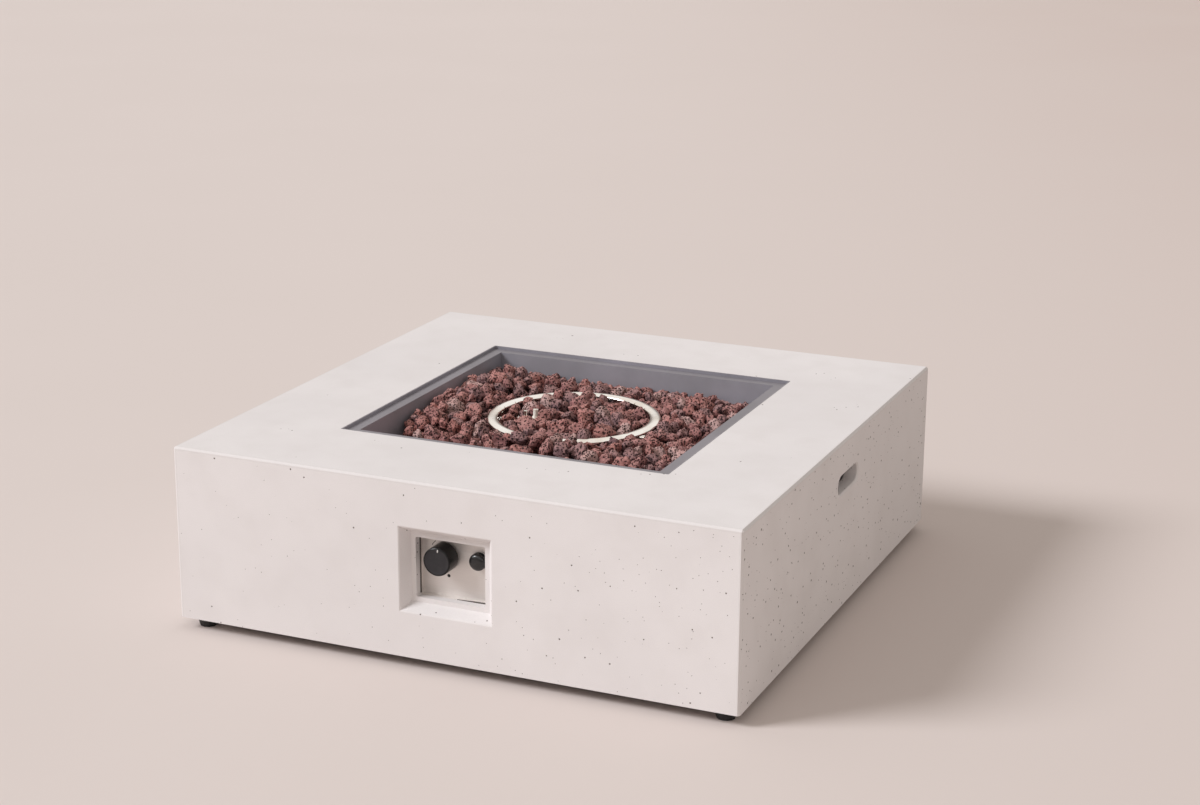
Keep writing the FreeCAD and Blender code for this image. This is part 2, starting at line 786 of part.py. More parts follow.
panel = new_body("control_panel")
flange = new_sketch(panel, "XZ_Plane", f"-{BOSS_BACK}")
flange_size = [f"{size} + 2 * (panel_sheet + panel_flange)" for size in hole_size]
outline(flange, rounded_rectangle("0", NICHE_Z, *flange_size, "panel_hole_round"))
pad(panel, flange, "panel_sheet", reverse=True)
tray = new_sketch(panel, "XZ_Plane", f"-{BOSS_BACK}")
tray_size = [f"{size} + 2 * panel_sheet" for size in hole_size]
outline(tray, rounded_rectangle("0", NICHE_Z, *tray_size, "(panel_hole_round + panel_sheet)"))
pad(panel, tray, f"{PANEL_BACK} - {BOSS_BACK}", reverse=True)
recess = new_sketch(panel, "XZ_Plane", f"-{BOSS_BACK}")
outline(recess, rounded_rectangle("0", NICHE_Z, *hole_size, "panel_hole_round"))
pocket(panel, recess, f"{PANEL_FACE} - {BOSS_BACK}")
panel_holes = new_sketch(panel, "XZ_Plane", f"-{PANEL_FACE}")
circle(panel_holes, "knob_offset", CONTROL_Z, "panel_stem_hole")
circle(panel_holes, "igniter_offset", CONTROL_Z, "igniter_diameter")
pocket(panel, panel_holes, "2 * panel_sheet")

# ---------------------------------------------------------------- control knob and gas valve
# Depths run inwards from the panel's face. The stem carries the knob; its flange bears on a collar and a
# spring in the valve, so it pushes in before it turns.

KNOB_FRONT = "(-knob_proud)"
KNOB_REAR = "(-knob_gap)"
STEM_FRONT = "(-knob_gap - stem_grip)"
BONNET_BACK = "(panel_sheet + bonnet_thickness)"
FLANGE_FRONT = f"({BONNET_BACK} + stop_gap)"
COLLAR_FRONT = f"({FLANGE_FRONT} + stem_flange + running_gap)"
COLLAR_BACK = f"({COLLAR_FRONT} + collar_thickness)"
CHAMBER_FLOOR = f"({BONNET_BACK} + chamber_depth)"
VALVE_BACK = f"({BONNET_BACK} + valve_length)"
STEM_END = f"({CHAMBER_FLOOR} + stem_well - knob_travel - 1)"

knob = new_body("control_knob")
form = new_sketch(knob, "XY_Plane")
outline(
    form,
    [
        ("0", KNOB_FRONT),
        ("knob_diameter / 2", KNOB_FRONT),
        ("knob_diameter / 2", KNOB_REAR),
        ("0", KNOB_REAR),
    ],
)
revolve(knob, form)
stem_bore = new_sketch(knob, "XZ_Plane", f"-{KNOB_REAR}")
FLAT_Z = "(stem_diameter / 2 - stem_flat)"
CHORD = f"sqrt((stem_diameter / 2) ^ 2 - {FLAT_Z} ^ 2)"
D_SHAPE = [(f"-{CHORD}", FLAT_Z, "0", "0", 1), (CHORD, FLAT_Z)]
outline(stem_bore, D_SHAPE)
pocket(knob, stem_bore, "stem_grip", reverse=True)
place(knob, "knob_offset", PANEL_FACE, CONTROL_Z)

stem = new_body("valve_stem")
form = new_sketch(stem, "XY_Plane")
outline(
    form,
    [
        ("0", STEM_FRONT),
        ("stem_diameter / 2", STEM_FRONT),
        ("stem_diameter / 2", FLANGE_FRONT),
        ("stem_flange_diameter / 2", FLANGE_FRONT),
        ("stem_flange_diameter / 2", f"{FLANGE_FRONT} + stem_flange"),
        ("stem_diameter / 2", f"{FLANGE_FRONT} + stem_flange"),
        ("stem_diameter / 2", STEM_END),
        ("0", STEM_END),
    ],
)
revolve(stem, form)
flat = new_sketch(stem, "XZ_Plane", f"-{STEM_FRONT}")
outline(flat, rectangle("0", f"({FLAT_Z} + stem_diameter / 2)", "2 * stem_diameter", "stem_diameter"))
pocket(stem, flat, "stem_grip")
place(stem, "knob_offset", PANEL_FACE, CONTROL_Z)

SHAFT_HOLE = "(stem_diameter / 2 + running_gap)"
collar = new_body("stem_collar")
plate = new_sketch(collar, "XZ_Plane", f"-{COLLAR_FRONT}")
outline(plate, rectangle("0", "0", "collar_width", "collar_width"))
circle(plate, "0", "0", f"2 * {SHAFT_HOLE}")
pad(collar, plate, "collar_thickness", reverse=True)
place(collar, "knob_offset", PANEL_FACE, CONTROL_Z)


def coil(label, mean_diameter, near, far, offset):
    """A square-wire spring about a control's axis, from one depth to another, made of short straight runs."""
    wire, radius = number("spring_wire"), number(mean_diameter) / 2
    length = number(far) - number(near) - wire
    runs = int(number("spring_turns * spring_flats"))
    path = []
    for i in range(runs + 1):
        angle = 2 * math.pi * i / number("spring_flats")
        path.append(Vector(radius * math.cos(angle), radius * math.sin(angle), length * i / runs))
    heading = (path[1] - path[0]).normalize()
    across = Vector(wire / 2, 0, 0)
    along = heading.cross(across)
    square = [path[0] + across * a + along * b for a, b in ((-1, -1), (1, -1), (1, 1), (-1, 1), (-1, -1))]
    section = Part.makePolygon(square)
    spring = doc.addObject("Part::Feature", f"{label}_coil")
    spring.Shape = Part.makePolygon(path).makePipeShell([section], True, False, 1)
    start = point(offset, f"{PANEL_FACE} + {near} + spring_wire / 2", CONTROL_Z)
    spring.Placement = Placement(start, INWARD)
    return node(spring, label)


coil("stem_spring", "stem_spring_diameter", f"({COLLAR_BACK} + running_gap)", CHAMBER_FLOOR, "knob_offset")

bonnet = new_body("valve_bonnet")
plate = new_sketch(bonnet, "XZ_Plane", "-panel_sheet")
outline(plate, rectangle("0", "0", "bonnet_length", "bonnet_width"))
circle(plate, "0", "0", "stem_diameter + 2 * running_gap")
pad(bonnet, plate, "bonnet_thickness", reverse=True)
place(bonnet, "knob_offset", PANEL_FACE, CONTROL_Z)

# The valve's casting: a block along the stem, an inlet boss below and an outlet boss to the left.
PORT_Y = f"({PANEL_FACE} + {BONNET_BACK} + port_setback)"
barrel_front = f"({PANEL_FACE} + {BONNET_BACK})"
outlet_face = "(knob_offset - outlet_boss)"
casting = joined(
    [
        block("valve_width", "valve_length", "valve_width", "knob_offset", barrel_front, CONTROL_Z),
        prism("inlet_boss_width", "inlet_boss", "knob_offset", PORT_Y, CONTROL_Z, DOWN),
        prism("outlet_boss_width", "outlet_boss", "knob_offset", PORT_Y, CONTROL_Z, LEFTWARD),
        rod("flare_thread_diameter", "flare_thread", outlet_face, PORT_Y, CONTROL_Z, LEFTWARD),
    ]
)
valve = bored(
    casting,
    [
        rod("chamber_diameter", "chamber_depth", "knob_offset", barrel_front, CONTROL_Z, INWARD),
        rod(
            "stem_diameter + 2 * running_gap",
            "chamber_depth + stem_well",
            "knob_offset",
            barrel_front,
            CONTROL_Z,
            INWARD,
        ),
    ],
)
node(valve, "valve_body")

INLET_TOP = f"({CONTROL_Z} - inlet_boss)"
INLET_SHOULDER = f"({INLET_TOP} - inlet_hex_height)"
INLET_TIP = f"({INLET_SHOULDER} - flare_thread)"
inlet = new_body("inlet_fitting")
hexes = new_sketch(inlet, "XY_Plane", INLET_SHOULDER)
outline(hexes, hexagon("0", "0", "inlet_hex"))
pad(inlet, hexes, "inlet_hex_height")
spigot = new_sketch(inlet, "XY_Plane", INLET_SHOULDER)
circle(spigot, "0", "0", "flare_thread_diameter")
pad(inlet, spigot, "flare_thread", reverse=True)
bore = new_sketch(inlet, "XY_Plane", INLET_TIP)
circle(bore, "0", "0", "inlet_bore")
pocket(inlet, bore, "flare_thread + inlet_hex_height - 1", reverse=True)
place(inlet, "knob_offset", PORT_Y, "0")

turned_inward(
    "magnet_unit",
    [
        ("0", VALVE_BACK),
        ("magnet_diameter / 2", VALVE_BACK),
        ("magnet_diameter / 2", f"{VALVE_BACK} + magnet_length"),
        ("0", f"{VALVE_BACK} + magnet_length"),
    ],
    "knob_offset",
)
MAGNET_BACK = f"({VALVE_BACK} + magnet_length)"
lead_nut = new_body("thermocouple_nut")
face = new_sketch(lead_nut, "XZ_Plane", f"-{MAGNET_BACK}")
outline(face, hexagon("0", "0", "magnet_nut_width"))
circle(face, "0", "0", "lead_diameter")
pad(lead_nut, face, "magnet_nut", reverse=True)
place(lead_nut, "knob_offset", PANEL_FACE, CONTROL_Z)

# ---------------------------------------------------------------- igniter
# A spark module in a barrel behind the panel, with a button that slides on its neck.

FLANGE = "(-igniter_flange)"
NECK = "(-igniter_flange - igniter_neck)"
CAP_REAR = "(-igniter_flange - button_gap)"
CAP_FRONT = "(-button_proud)"
CEILING = "(button_skin - button_proud)"
BARREL_END = "igniter_length"
WELL_END = "(igniter_length - 3)"
BATTERY_FRONT = "(igniter_length - 3 - battery_length)"
turned_inward(
    "igniter_housing",
    [
        ("igniter_bore / 2", NECK),
        ("igniter_neck_diameter / 2", NECK),
        ("igniter_neck_diameter / 2", FLANGE),
        ("button_diameter / 2", FLANGE),
        ("button_diameter / 2", "0"),
        ("igniter_diameter / 2", "0"),
        ("igniter_diameter / 2", BARREL_END),
        ("0", BARREL_END),
        ("0", WELL_END),
        ("igniter_bore / 2", WELL_END),
    ],
    "igniter_offset",
)

turned_inward(
    "igniter_button",
    [
        ("0", CAP_FRONT),
        ("button_diameter / 2", CAP_FRONT),
        ("button_diameter / 2", CAP_REAR),
        ("igniter_neck_diameter / 2 + stop_gap", CAP_REAR),
        ("igniter_neck_diameter / 2 + stop_gap", CEILING),
        ("0", CEILING),
    ],
    "igniter_offset",
)
PLUNGER_END = f"({CEILING} + plunger_length)"
turned_inward(
    "button_plunger",
    [
        ("0", CEILING),
        ("plunger_diameter / 2", CEILING),
        ("plunger_diameter / 2", PLUNGER_END),
        ("0", PLUNGER_END),
    ],
    "igniter_offset",
)
coil("igniter_spring", "plunger_diameter + 4", f"({CEILING} + running_gap)", BATTERY_FRONT, "igniter_offset")
turned_inward(
    "igniter_battery",
    [
        ("0", BATTERY_FRONT),
        ("battery_diameter / 2", BATTERY_FRONT),
        ("battery_diameter / 2", WELL_END),
        ("0", WELL_END),
    ],
    "igniter_offset",
)

barrel_nut = new_body("igniter_nut")
face = new_sketch(barrel_nut, "XZ_Plane", "-panel_sheet")
outline(face, hexagon("0", "0", "igniter_nut_width"))
circle(face, "0", "0", "igniter_diameter")
pad(barrel_nut, face, "igniter_nut_height", reverse=True)
place(barrel_nut, "igniter_offset", PANEL_FACE, CONTROL_Z)

terminal = new_body("igniter_terminal")
blade = new_sketch(terminal, "XZ_Plane", "-igniter_length")
outline(blade, rectangle("0", "0", "terminal_thickness", "terminal_width"))
pad(terminal, blade, "terminal_length", reverse=True)
place(terminal, "igniter_offset", PANEL_FACE, CONTROL_Z)

# ---------------------------------------------------------------- pilot
# A bent bracket stands on the pan's floor beside the cross tube. Its shelf holds the electrode and the probe.

pilot = new_body("pilot_bracket")
bend = new_sketch(pilot, "YZ_Plane", f"{PILOT_X} - pilot_width / 2")
outline(
    bend,
    [
        (f"{PILOT_RISER} - pilot_foot", PAN_FLOOR),
        (f"{PILOT_RISER} + pilot_sheet", PAN_FLOOR),
        (f"{PILOT_RISER} + pilot_sheet", f"{SHELF_Z} - pilot_sheet"),
        (PILOT_BACK, f"{SHELF_Z} - pilot_sheet"),
        (PILOT_BACK, SHELF_Z),
        (PILOT_RISER, SHELF_Z),
        (PILOT_RISER, f"{PAN_FLOOR} + pilot_sheet"),
        (f"{PILOT_RISER} - pilot_foot", f"{PAN_FLOOR} + pilot_sheet"),
    ],
)
pad(pilot, bend, "pilot_width")
shelf_holes = new_sketch(pilot, "XY_Plane", SHELF_Z)
circle(shelf_holes, *ELECTRODE, "electrode_diameter")
circle(shelf_holes, *PROBE, "probe_diameter")
pocket(pilot, shelf_holes, "2 * pilot_sheet")

CERAMIC_TOP = f"({RING_TOP} + electrode_rise)"
CERAMIC_BOTTOM = f"({PAN_UNDERSIDE} - electrode_below_pan)"
turned(
    "electrode_ceramic",
    [
        ("0", CERAMIC_BOTTOM),
        ("electrode_diameter / 2", CERAMIC_BOTTOM),
        ("electrode_diameter / 2", SHELF_Z),
        ("electrode_flange_diameter / 2", SHELF_Z),
        ("electrode_flange_diameter / 2", f"{SHELF_Z} + electrode_flange"),
        ("electrode_diameter / 2", f"{SHELF_Z} + electrode_flange"),
        ("electrode_diameter / 2", CERAMIC_TOP),
        ("0", CERAMIC_TOP),
    ],
    x="electrode_x",
    y="electrode_y",
)
turned(
    "electrode_rod",
    [
        ("0", CERAMIC_TOP),
        ("rod_diameter / 2", CERAMIC_TOP),
        ("rod_diameter / 2", f"{CERAMIC_TOP} + rod_rise"),
        ("0", f"{CERAMIC_TOP} + rod_rise"),
    ],
    x="electrode_x",
    y="electrode_y",
)
PROBE_BOTTOM = f"({SHELF_Z} - pilot_sheet - probe_below_shelf)"
PROBE_TOP = f"({SHELF_Z} + probe_rise)"
turned(
    "thermocouple_probe",
    [
        ("0", PROBE_BOTTOM),
        ("probe_diameter / 2", PROBE_BOTTOM),
        ("probe_diameter / 2", PROBE_TOP),
        ("0", PROBE_TOP),
    ],
    x=PROBE[0],
    y=PROBE[1],
)

# ---------------------------------------------------------------- tubes and wires
# Each runs straight from end to end, and turns in two steps where it bends.


def bent(label, diameter, route):
    """A round tube or wire along a route whose corners are cut short."""
    radius = number(diameter) / 2
    path = route[:1]
    for before, corner, after in zip(route, route[1:], route[2:]):
        into = (corner - before).normalize()
        out = (after - corner).normalize()
        trim = 0.45 * min(before.distanceToPoint(corner), corner.distanceToPoint(after))
        path += [corner - into * trim, corner + out * trim]
        bend_radius = trim / math.tan(into.getAngle(out) / 2)
        print(f"{label}: bend radius {bend_radius:.1f} mm, {bend_radius / (2 * radius):.1f} diameters")
    path.append(route[-1])
    spine = Part.makePolygon(path)
    section = Part.Wire(Part.Circle(route[0], route[1] - route[0], radius).toShape())
    item = doc.addObject("Part::Feature", f"{label}_run")
    item.Shape = spine.makePipeShell([section], True, False, 1)
    expected = math.pi * radius * radius * spine.Length
    if abs(item.Shape.Volume - expected) > 0.01 * expected:
        raise ValueError(f"{label} doesn't have the volume of its section along its length")
    return node(item, label)


port_y = number(PORT_Y)
control_z = number(CONTROL_Z)
outlet_x = number(f"{outlet_face} - flare_thread")
mixer_end = number(f"{MIXER_BOTTOM} - flare_thread")
bent(
    "gas_tube",
    "tube_diameter",
    [
        Vector(outlet_x, port_y, control_z),
        Vector(outlet_x - 62, port_y, control_z),
        Vector(0, 0, mixer_end - 58),
        Vector(0, 0, mixer_end),
    ],
)
flare_nuts = bored(
    joined(
        [
            prism("flare_nut_width", "flare_nut_height", outlet_face, PORT_Y, CONTROL_Z, LEFTWARD),
            prism("flare_nut_width", "flare_nut_height", "0", "0", f"{MIXER_BOTTOM} - flare_nut_height"),
        ]
    ),
    [
        rod("flare_thread_diameter", "flare_thread", outlet_face, PORT_Y, CONTROL_Z, LEFTWARD),
        rod("tube_diameter", "flare_nut_height", outlet_face, PORT_Y, CONTROL_Z, LEFTWARD),
        rod("flare_thread_diameter", "flare_thread", "0", "0", f"{MIXER_BOTTOM} - flare_thread"),
        rod("tube_diameter", "flare_nut_height", "0", "0", f"{MIXER_BOTTOM} - flare_nut_height"),
    ],
)
node(flare_nuts, "flare_nuts")

electrode = point(*ELECTRODE, CERAMIC_BOTTOM)
probe = point(*PROBE, PROBE_BOTTOM)
magnet_end = point("knob_offset", f"{PANEL_FACE} + {MAGNET_BACK}", CONTROL_Z)
bent(
    "thermocouple_lead",
    "lead_diameter",
    [
        magnet_end,
        magnet_end + Vector(0, 60, 0),
        Vector(probe.x, probe.y, control_z - 10),
        probe,
    ],
)
blade_end = point("igniter_offset", f"{PANEL_FACE} + igniter_length + terminal_length", CONTROL_Z)
bent(
    "ignition_wire",
    "wire_diameter",
    [
        blade_end,
        blade_end + Vector(0, 60, 0),
        Vector(electrode.x, electrode.y, control_z - 25),
        electrode,
    ],
)

# ---------------------------------------------------------------- lava rock
# Broken rock on the pan's floor, heaped towards the middle. Each rock is a lump whose flats lean on its
# neighbours, with a narrow gap all round.


def clipped(faces, normal, reach):
    """Cut a convex lump, held as faces of corner points, by a plane, and keep what lies below it."""

    def height(p):
        above = p.dot(normal) - reach
        return 0 if abs(above) < 1e-6 else above

    if all(height(p) <= 0 for face in faces for p in face):
        return faces
    kept, rim = [], []
    for face in faces:
        part = []
        for a, b in zip(face, face[1:] + face[:1]):
            height_a, height_b = height(a), height(b)
            if height_a <= 0:
                part.append(a)
            if height_a == 0:
                rim.append(a)
            if height_a * height_b < 0:
                crossing = a + (b - a) * (height_a / (height_a - height_b))
                part.append(crossing)
                rim.append(crossing)
        if len(part) > 2:
            kept.append(part)
    if not rim:
        return []
    centre = sum(rim, Vector()) * (1 / len(rim))
    if max(p.distanceToPoint(centre) for p in rim) < 0.3:
        return faces
    across = (rim[0] - centre).normalize()
    up = normal.cross(across)
    ordered = sorted(rim, key=lambda p: math.atan2((p - centre).dot(up), (p - centre).dot(across)))
    kept.append([p for i, p in enumerate(ordered) if p.distanceToPoint(ordered[i - 1]) > 1e-5])
    return kept


def shortest_edge(faces):
    return min(a.distanceToPoint(b) for face in faces for a, b in zip(face, face[1:] + face[:1]))


def trimmed(faces, normal, reach):
    """Clip a lump, moving the plane in a little where it would leave a sliver of an edge."""
    best = []
    for step in range(6):
        result = clipped(faces, normal, reach - 0.12 * step)
        if len(result) < 4:
            return []
        if not best or shortest_edge(result) > shortest_edge(best):
            best = result
        if shortest_edge(best) > 0.6:
            break
    return best


def lump(centre, half_width, half_height, rng):
    """A rough block about a centre, turned at random, with one of its corners knocked off."""
    turn = Rotation(rng.uniform(0, 360), rng.uniform(-14, 14), rng.uniform(-14, 14))
    half = [half_width * rng.uniform(0.85, 1.05), half_width * rng.uniform(0.85, 1.05), half_height]
    signs = [(-1, -1), (1, -1), (1, 1), (-1, 1)]
    faces = []
    for axis in range(3):
        for side in (-1, 1):
            face = []
            for a, b in signs if side > 0 else signs[::-1]:
                corner = [0, 0, 0]
                corner[axis] = side * half[axis]
                corner[(axis + 1) % 3] = a * half[(axis + 1) % 3]
                corner[(axis + 2) % 3] = b * half[(axis + 2) % 3]
                face.append(centre + turn.multVec(Vector(*corner)))
            faces.append(face)
    heading = Vector(rng.uniform(-1, 1), rng.uniform(-1, 1), rng.uniform(0.2, 1)).normalize()
    return trimmed(faces, heading, centre.dot(heading) + half_width * rng.uniform(0.85, 1.05))


def solid_of(faces):
    skins = [Part.Face(Part.makePolygon(face + face[:1])) for face in faces]
    skin = Part.makeShell(skins)
    skin.sewShape()
    body = Part.makeSolid(skin)
    if body.Volume < 0:
        body.reverse()
    return body


def box_about(x, y, width, depth, low, high):
    """Two corners of a box that the rocks keep clear of."""
    half = Vector(number(width) / 2, number(depth) / 2, 0)
    return point(x, y, low) - half, point(x, y, high) + half


FEED_TOP = f"({FEED_Z} + feed_diameter / 2)"
FEED_BOTTOM = f"({FEED_Z} - feed_diameter / 2)"
HUB_WIDTH = "(2 * locknut_width / sqrt(3))"
FOOT_Y = f"({PILOT_RISER} - pilot_foot / 2)"
SHELF_Y = f"({PILOT_RISER} + pilot_shelf / 2)"
boxes = [
    box_about("0", "0", f"2 * {FEED_REACH}", "feed_diameter", FEED_BOTTOM, FEED_TOP),
    box_about("0", "0", HUB_WIDTH, HUB_WIDTH, PAN_FLOOR, HUB_TOP),
    box_about(*ELECTRODE, "electrode_flange_diameter", "electrode_flange_diameter", PAN_FLOOR, CERAMIC_TOP),
    box_about(*PROBE, "probe_diameter", "probe_diameter", PAN_FLOOR, PROBE_TOP),
    box_about(PILOT_X, PILOT_RISER, "pilot_width", "2 * pilot_sheet", PAN_FLOOR, SHELF_Z),
    box_about(PILOT_X, FOOT_Y, "pilot_width", "pilot_foot", PAN_FLOOR, f"{PAN_FLOOR} + pilot_sheet"),
    box_about(PILOT_X, SHELF_Y, "pilot_width", "pilot_shelf", f"{SHELF_Z} - pilot_sheet", SHELF_Z),
]
for side in (-1, 1):
    boxes.append(box_about(f"{side} * {TUBE_X}", "0", "riser_diameter", "riser_diameter", FEED_Z, TUBE_Z))

rng = random.Random(7)
gap = number("rock_gap")
slope = number(SLOPE)
pan_floor = number(PAN_FLOOR)
half_floor = number(f"{MOUTH} - pan_depth * {SLOPE}")
rows = int(2 * half_floor / number("rock_pitch"))
spacing = 2 * half_floor / rows
edge_height, crown_height = number("bed_edge_height"), number("bed_crown_height")
ring_outside = number("ring_diameter / 2")
ring_inside = ring_outside - number("ring_tube_width")
ring_top, ring_bottom = number(RING_TOP), number(f"{RING_TOP} - ring_tube_height")
ring_bow = spacing**2 / (8 * ring_inside)


def bed_height(x, y):
    """How high the heap stands above the pan's floor: lowest along the walls, highest in the middle."""
    share = min(1, max(abs(x), abs(y)) / half_floor)
    return crown_height - (crown_height - edge_height) * share**2


def nearest_in_box(seed, low, high):
    return Vector(*(min(max(seed[i], low[i]), high[i]) for i in range(3)))


def nearest_on_ring(seed):
    reach = math.hypot(seed.x, seed.y)
    share = min(max(reach, ring_inside), ring_outside) / reach
    return Vector(seed.x * share, seed.y * share, min(max(seed.z, ring_bottom), ring_top))


def nearest_spots(seed):
    return [nearest_in_box(seed, low, high) for low, high in boxes] + [nearest_on_ring(seed)]


seeds = []
for i in range(rows):
    for j in range(rows):
        x = (i + 0.5 + rng.uniform(-0.2, 0.2)) * spacing - half_floor
        y = (j + 0.5 + rng.uniform(-0.2, 0.2)) * spacing - half_floor
        seed = Vector(x, y, pan_floor + 0.4 * bed_height(x, y))
        if all(seed.distanceToPoint(spot) > 7 for spot in nearest_spots(seed)):
            seeds.append(seed)

sideways = [Vector(1, 0, 0), Vector(0, 1, 0), Vector(-1, 0, 0), Vector(0, -1, 0)]
rocks = []
for seed in seeds:
    height = bed_height(seed.x, seed.y)
    faces = lump(seed, spacing / 2, 0.62 * height, rng)
    tilt = Vector(rng.uniform(-0.3, 0.3), rng.uniform(-0.3, 0.3), 1).normalize()
    crest = Vector(seed.x, seed.y, pan_floor + height)
    faces = trimmed(faces, tilt, crest.dot(tilt))
    for other in seeds:
        away = other - seed
        if 0 < away.Length < 1.8 * spacing:
            heading = Vector(away).normalize()
            faces = trimmed(faces, heading, seed.dot(heading) + away.Length / 2 - gap / 2)
    for spot in nearest_spots(seed):
        heading = (spot - seed).normalize()
        faces = trimmed(faces, heading, spot.dot(heading) - gap - ring_bow)
    for outward in sideways:
        heading = (outward - Vector(0, 0, slope)).normalize()
        foot = outward * half_floor + Vector(0, 0, pan_floor)
        faces = trimmed(faces, heading, foot.dot(heading) - gap)
    faces = clipped(faces, Vector(0, 0, -1), -pan_floor - gap)
    if faces:
        rocks.append(solid_of(faces))
bed = doc.addObject("Part::Feature", "rock_bed")
bed.Shape = Part.makeCompound(rocks)
node(bed, "lava_rocks")

# ---------------------------------------------------------------- check and write

doc.recompute()
for item in doc.Objects:
    faults = [state for state in item.State if state in ("Invalid", "Error")]
    if faults:
        raise RuntimeError(f"{item.Label}: {faults}")
os.makedirs("parts", exist_ok=True)
for item in nodes:
    if item.Shape.isNull() or not item.Shape.isValid():
        raise RuntimeError(f"{item.Label} has no valid shape")
    item.Shape.exportStep(f"parts/{item.Label}.step")
    print(f"{item.Label}: {len(item.Shape.Solids)} solids, {item.Shape.Volume / 1000:.2f} cm3")
print(f"{len(nodes)} nodes")
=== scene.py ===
import math
import random

import bmesh
import bpy
import numpy as np
from mathutils import Euler, Matrix, Vector, noise


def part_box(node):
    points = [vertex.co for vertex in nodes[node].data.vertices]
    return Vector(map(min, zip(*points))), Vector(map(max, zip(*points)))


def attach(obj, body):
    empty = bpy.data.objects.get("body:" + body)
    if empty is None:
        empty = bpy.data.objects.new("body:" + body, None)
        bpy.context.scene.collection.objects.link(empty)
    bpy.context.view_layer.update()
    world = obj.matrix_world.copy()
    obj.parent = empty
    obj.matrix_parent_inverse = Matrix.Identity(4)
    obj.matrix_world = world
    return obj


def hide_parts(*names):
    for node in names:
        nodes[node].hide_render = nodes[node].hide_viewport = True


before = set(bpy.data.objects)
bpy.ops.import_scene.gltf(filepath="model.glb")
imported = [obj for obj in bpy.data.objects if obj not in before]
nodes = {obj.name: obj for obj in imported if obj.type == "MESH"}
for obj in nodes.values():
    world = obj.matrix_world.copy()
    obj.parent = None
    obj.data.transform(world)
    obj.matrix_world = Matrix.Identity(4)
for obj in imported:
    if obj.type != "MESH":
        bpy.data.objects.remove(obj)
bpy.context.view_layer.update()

# ---------------------------------------------------------------- stage, lamps and camera
# The table stands on a plain pale floor in a dim warm room, under one broad soft lamp high on its left.
# The camera looks down at its front from a little to the right.

FLOOR_REACH = 12
BACKGROUND = (219, 208, 203)
TO_RIGHT = (0.918, 0.397)
TO_LAMP = Vector((-0.66, -0.46, 0.60))
LAMP_SPREAD = math.radians(22)
LAMP_STRENGTH = 2.4
LAMP_COLOUR = (0.97, 0.99, 1.03)
ROOM_COLOUR = (0.55, 0.515, 0.485)
CAMERA_PLACE = Vector((1.43592, -3.21563, 1.32980))
CAMERA_YAW = math.radians(23.39)
CAMERA_PITCH = math.radians(16.44)
CAMERA_ROLL = math.radians(0.34)
CAMERA_LENS = 69.76
CAMERA_SENSOR = 36


def paint(red, green, blue):
    """A colour written as it shows on a screen, 0 to 255, as the linear values that shaders take."""
    share = [level / 255 for level in (red, green, blue)]
    return [s / 12.92 if s <= 0.04045 else ((s + 0.055) / 1.055) ** 2.4 for s in share]


class Wire:
    """One value of a shader, from a socket. Sums and products of wires add their Math nodes."""

    def __init__(self, shop, socket):
        self.shop, self.socket = shop, socket

    def maths(self, operation, *values):
        """What a Math node makes of some wires or numbers, in the order of its sockets."""
        inputs = dict(enumerate(values))
        return self.shop.node("ShaderNodeMath", {"operation": operation}, inputs)["Value"]

    def __add__(self, other):
        return self.maths("ADD", self, other)

    def __sub__(self, other):
        return self.maths("SUBTRACT", self, other)

    def __rsub__(self, other):
        return self.maths("SUBTRACT", other, self)

    def __mul__(self, other):
        return self.maths("MULTIPLY", self, other)

    def __pow__(self, other):
        return self.maths("POWER", self, other)

    def __lt__(self, other):
        return self.maths("LESS_THAN", self, other)

    def __gt__(self, other):
        return self.maths("GREATER_THAN", self, other)

    def __abs__(self):
        return self.maths("ABSOLUTE", self)

    def most(self, other):
        """The greater of two values, or either of two masks."""
        return self.maths("MAXIMUM", self, other)

    def ramp(self, low, high):
        """0 at the first level and 1 at the second, smooth between."""
        settings = {"interpolation_type": "SMOOTHSTEP"}
        inputs = {"Value": self, "From Min": low, "From Max": high}
        return self.shop.node("ShaderNodeMapRange", settings, inputs)["Result"]

    __radd__, __rmul__ = __add__, __mul__


class Shop:
    """Makes and joins the nodes of one shader tree."""

    def __init__(self, tree):
        self.tree = tree

    def node(self, kind, settings=None, inputs=None):
        """A node of any type: its settings first, then its sockets' values or wires. Gives its outputs."""
        made = self.tree.nodes.new(kind)
        for setting, value in (settings or {}).items():
            setattr(made, setting, value)
        for socket, value in (inputs or {}).items():
            self.join(value, made.inputs[socket])
        return {output.name: Wire(self, output) for output in made.outputs if output.enabled}

    def join(self, value, socket):
        """Links a wire to a socket, or sets the socket to a constant."""
        if isinstance(value, Wire):
            self.tree.links.new(value.socket, socket)
        elif socket.type == "RGBA" and len(value) == 3:
            socket.default_value = (*value, 1)
        else:
            socket.default_value = value

    def mixed(self, share, first, second):
        """The first colour, going over to the second as the share goes from 0 to 1."""
        inputs = {0: share, 6: first, 7: second}
        return self.node("ShaderNodeMix", {"data_type": "RGBA"}, inputs)["Result"]

    def split(self, place):
        """A place's three numbers, each a wire."""
        parts = self.node("ShaderNodeSeparateXYZ", None, {0: place})
        return parts["X"], parts["Y"], parts["Z"]


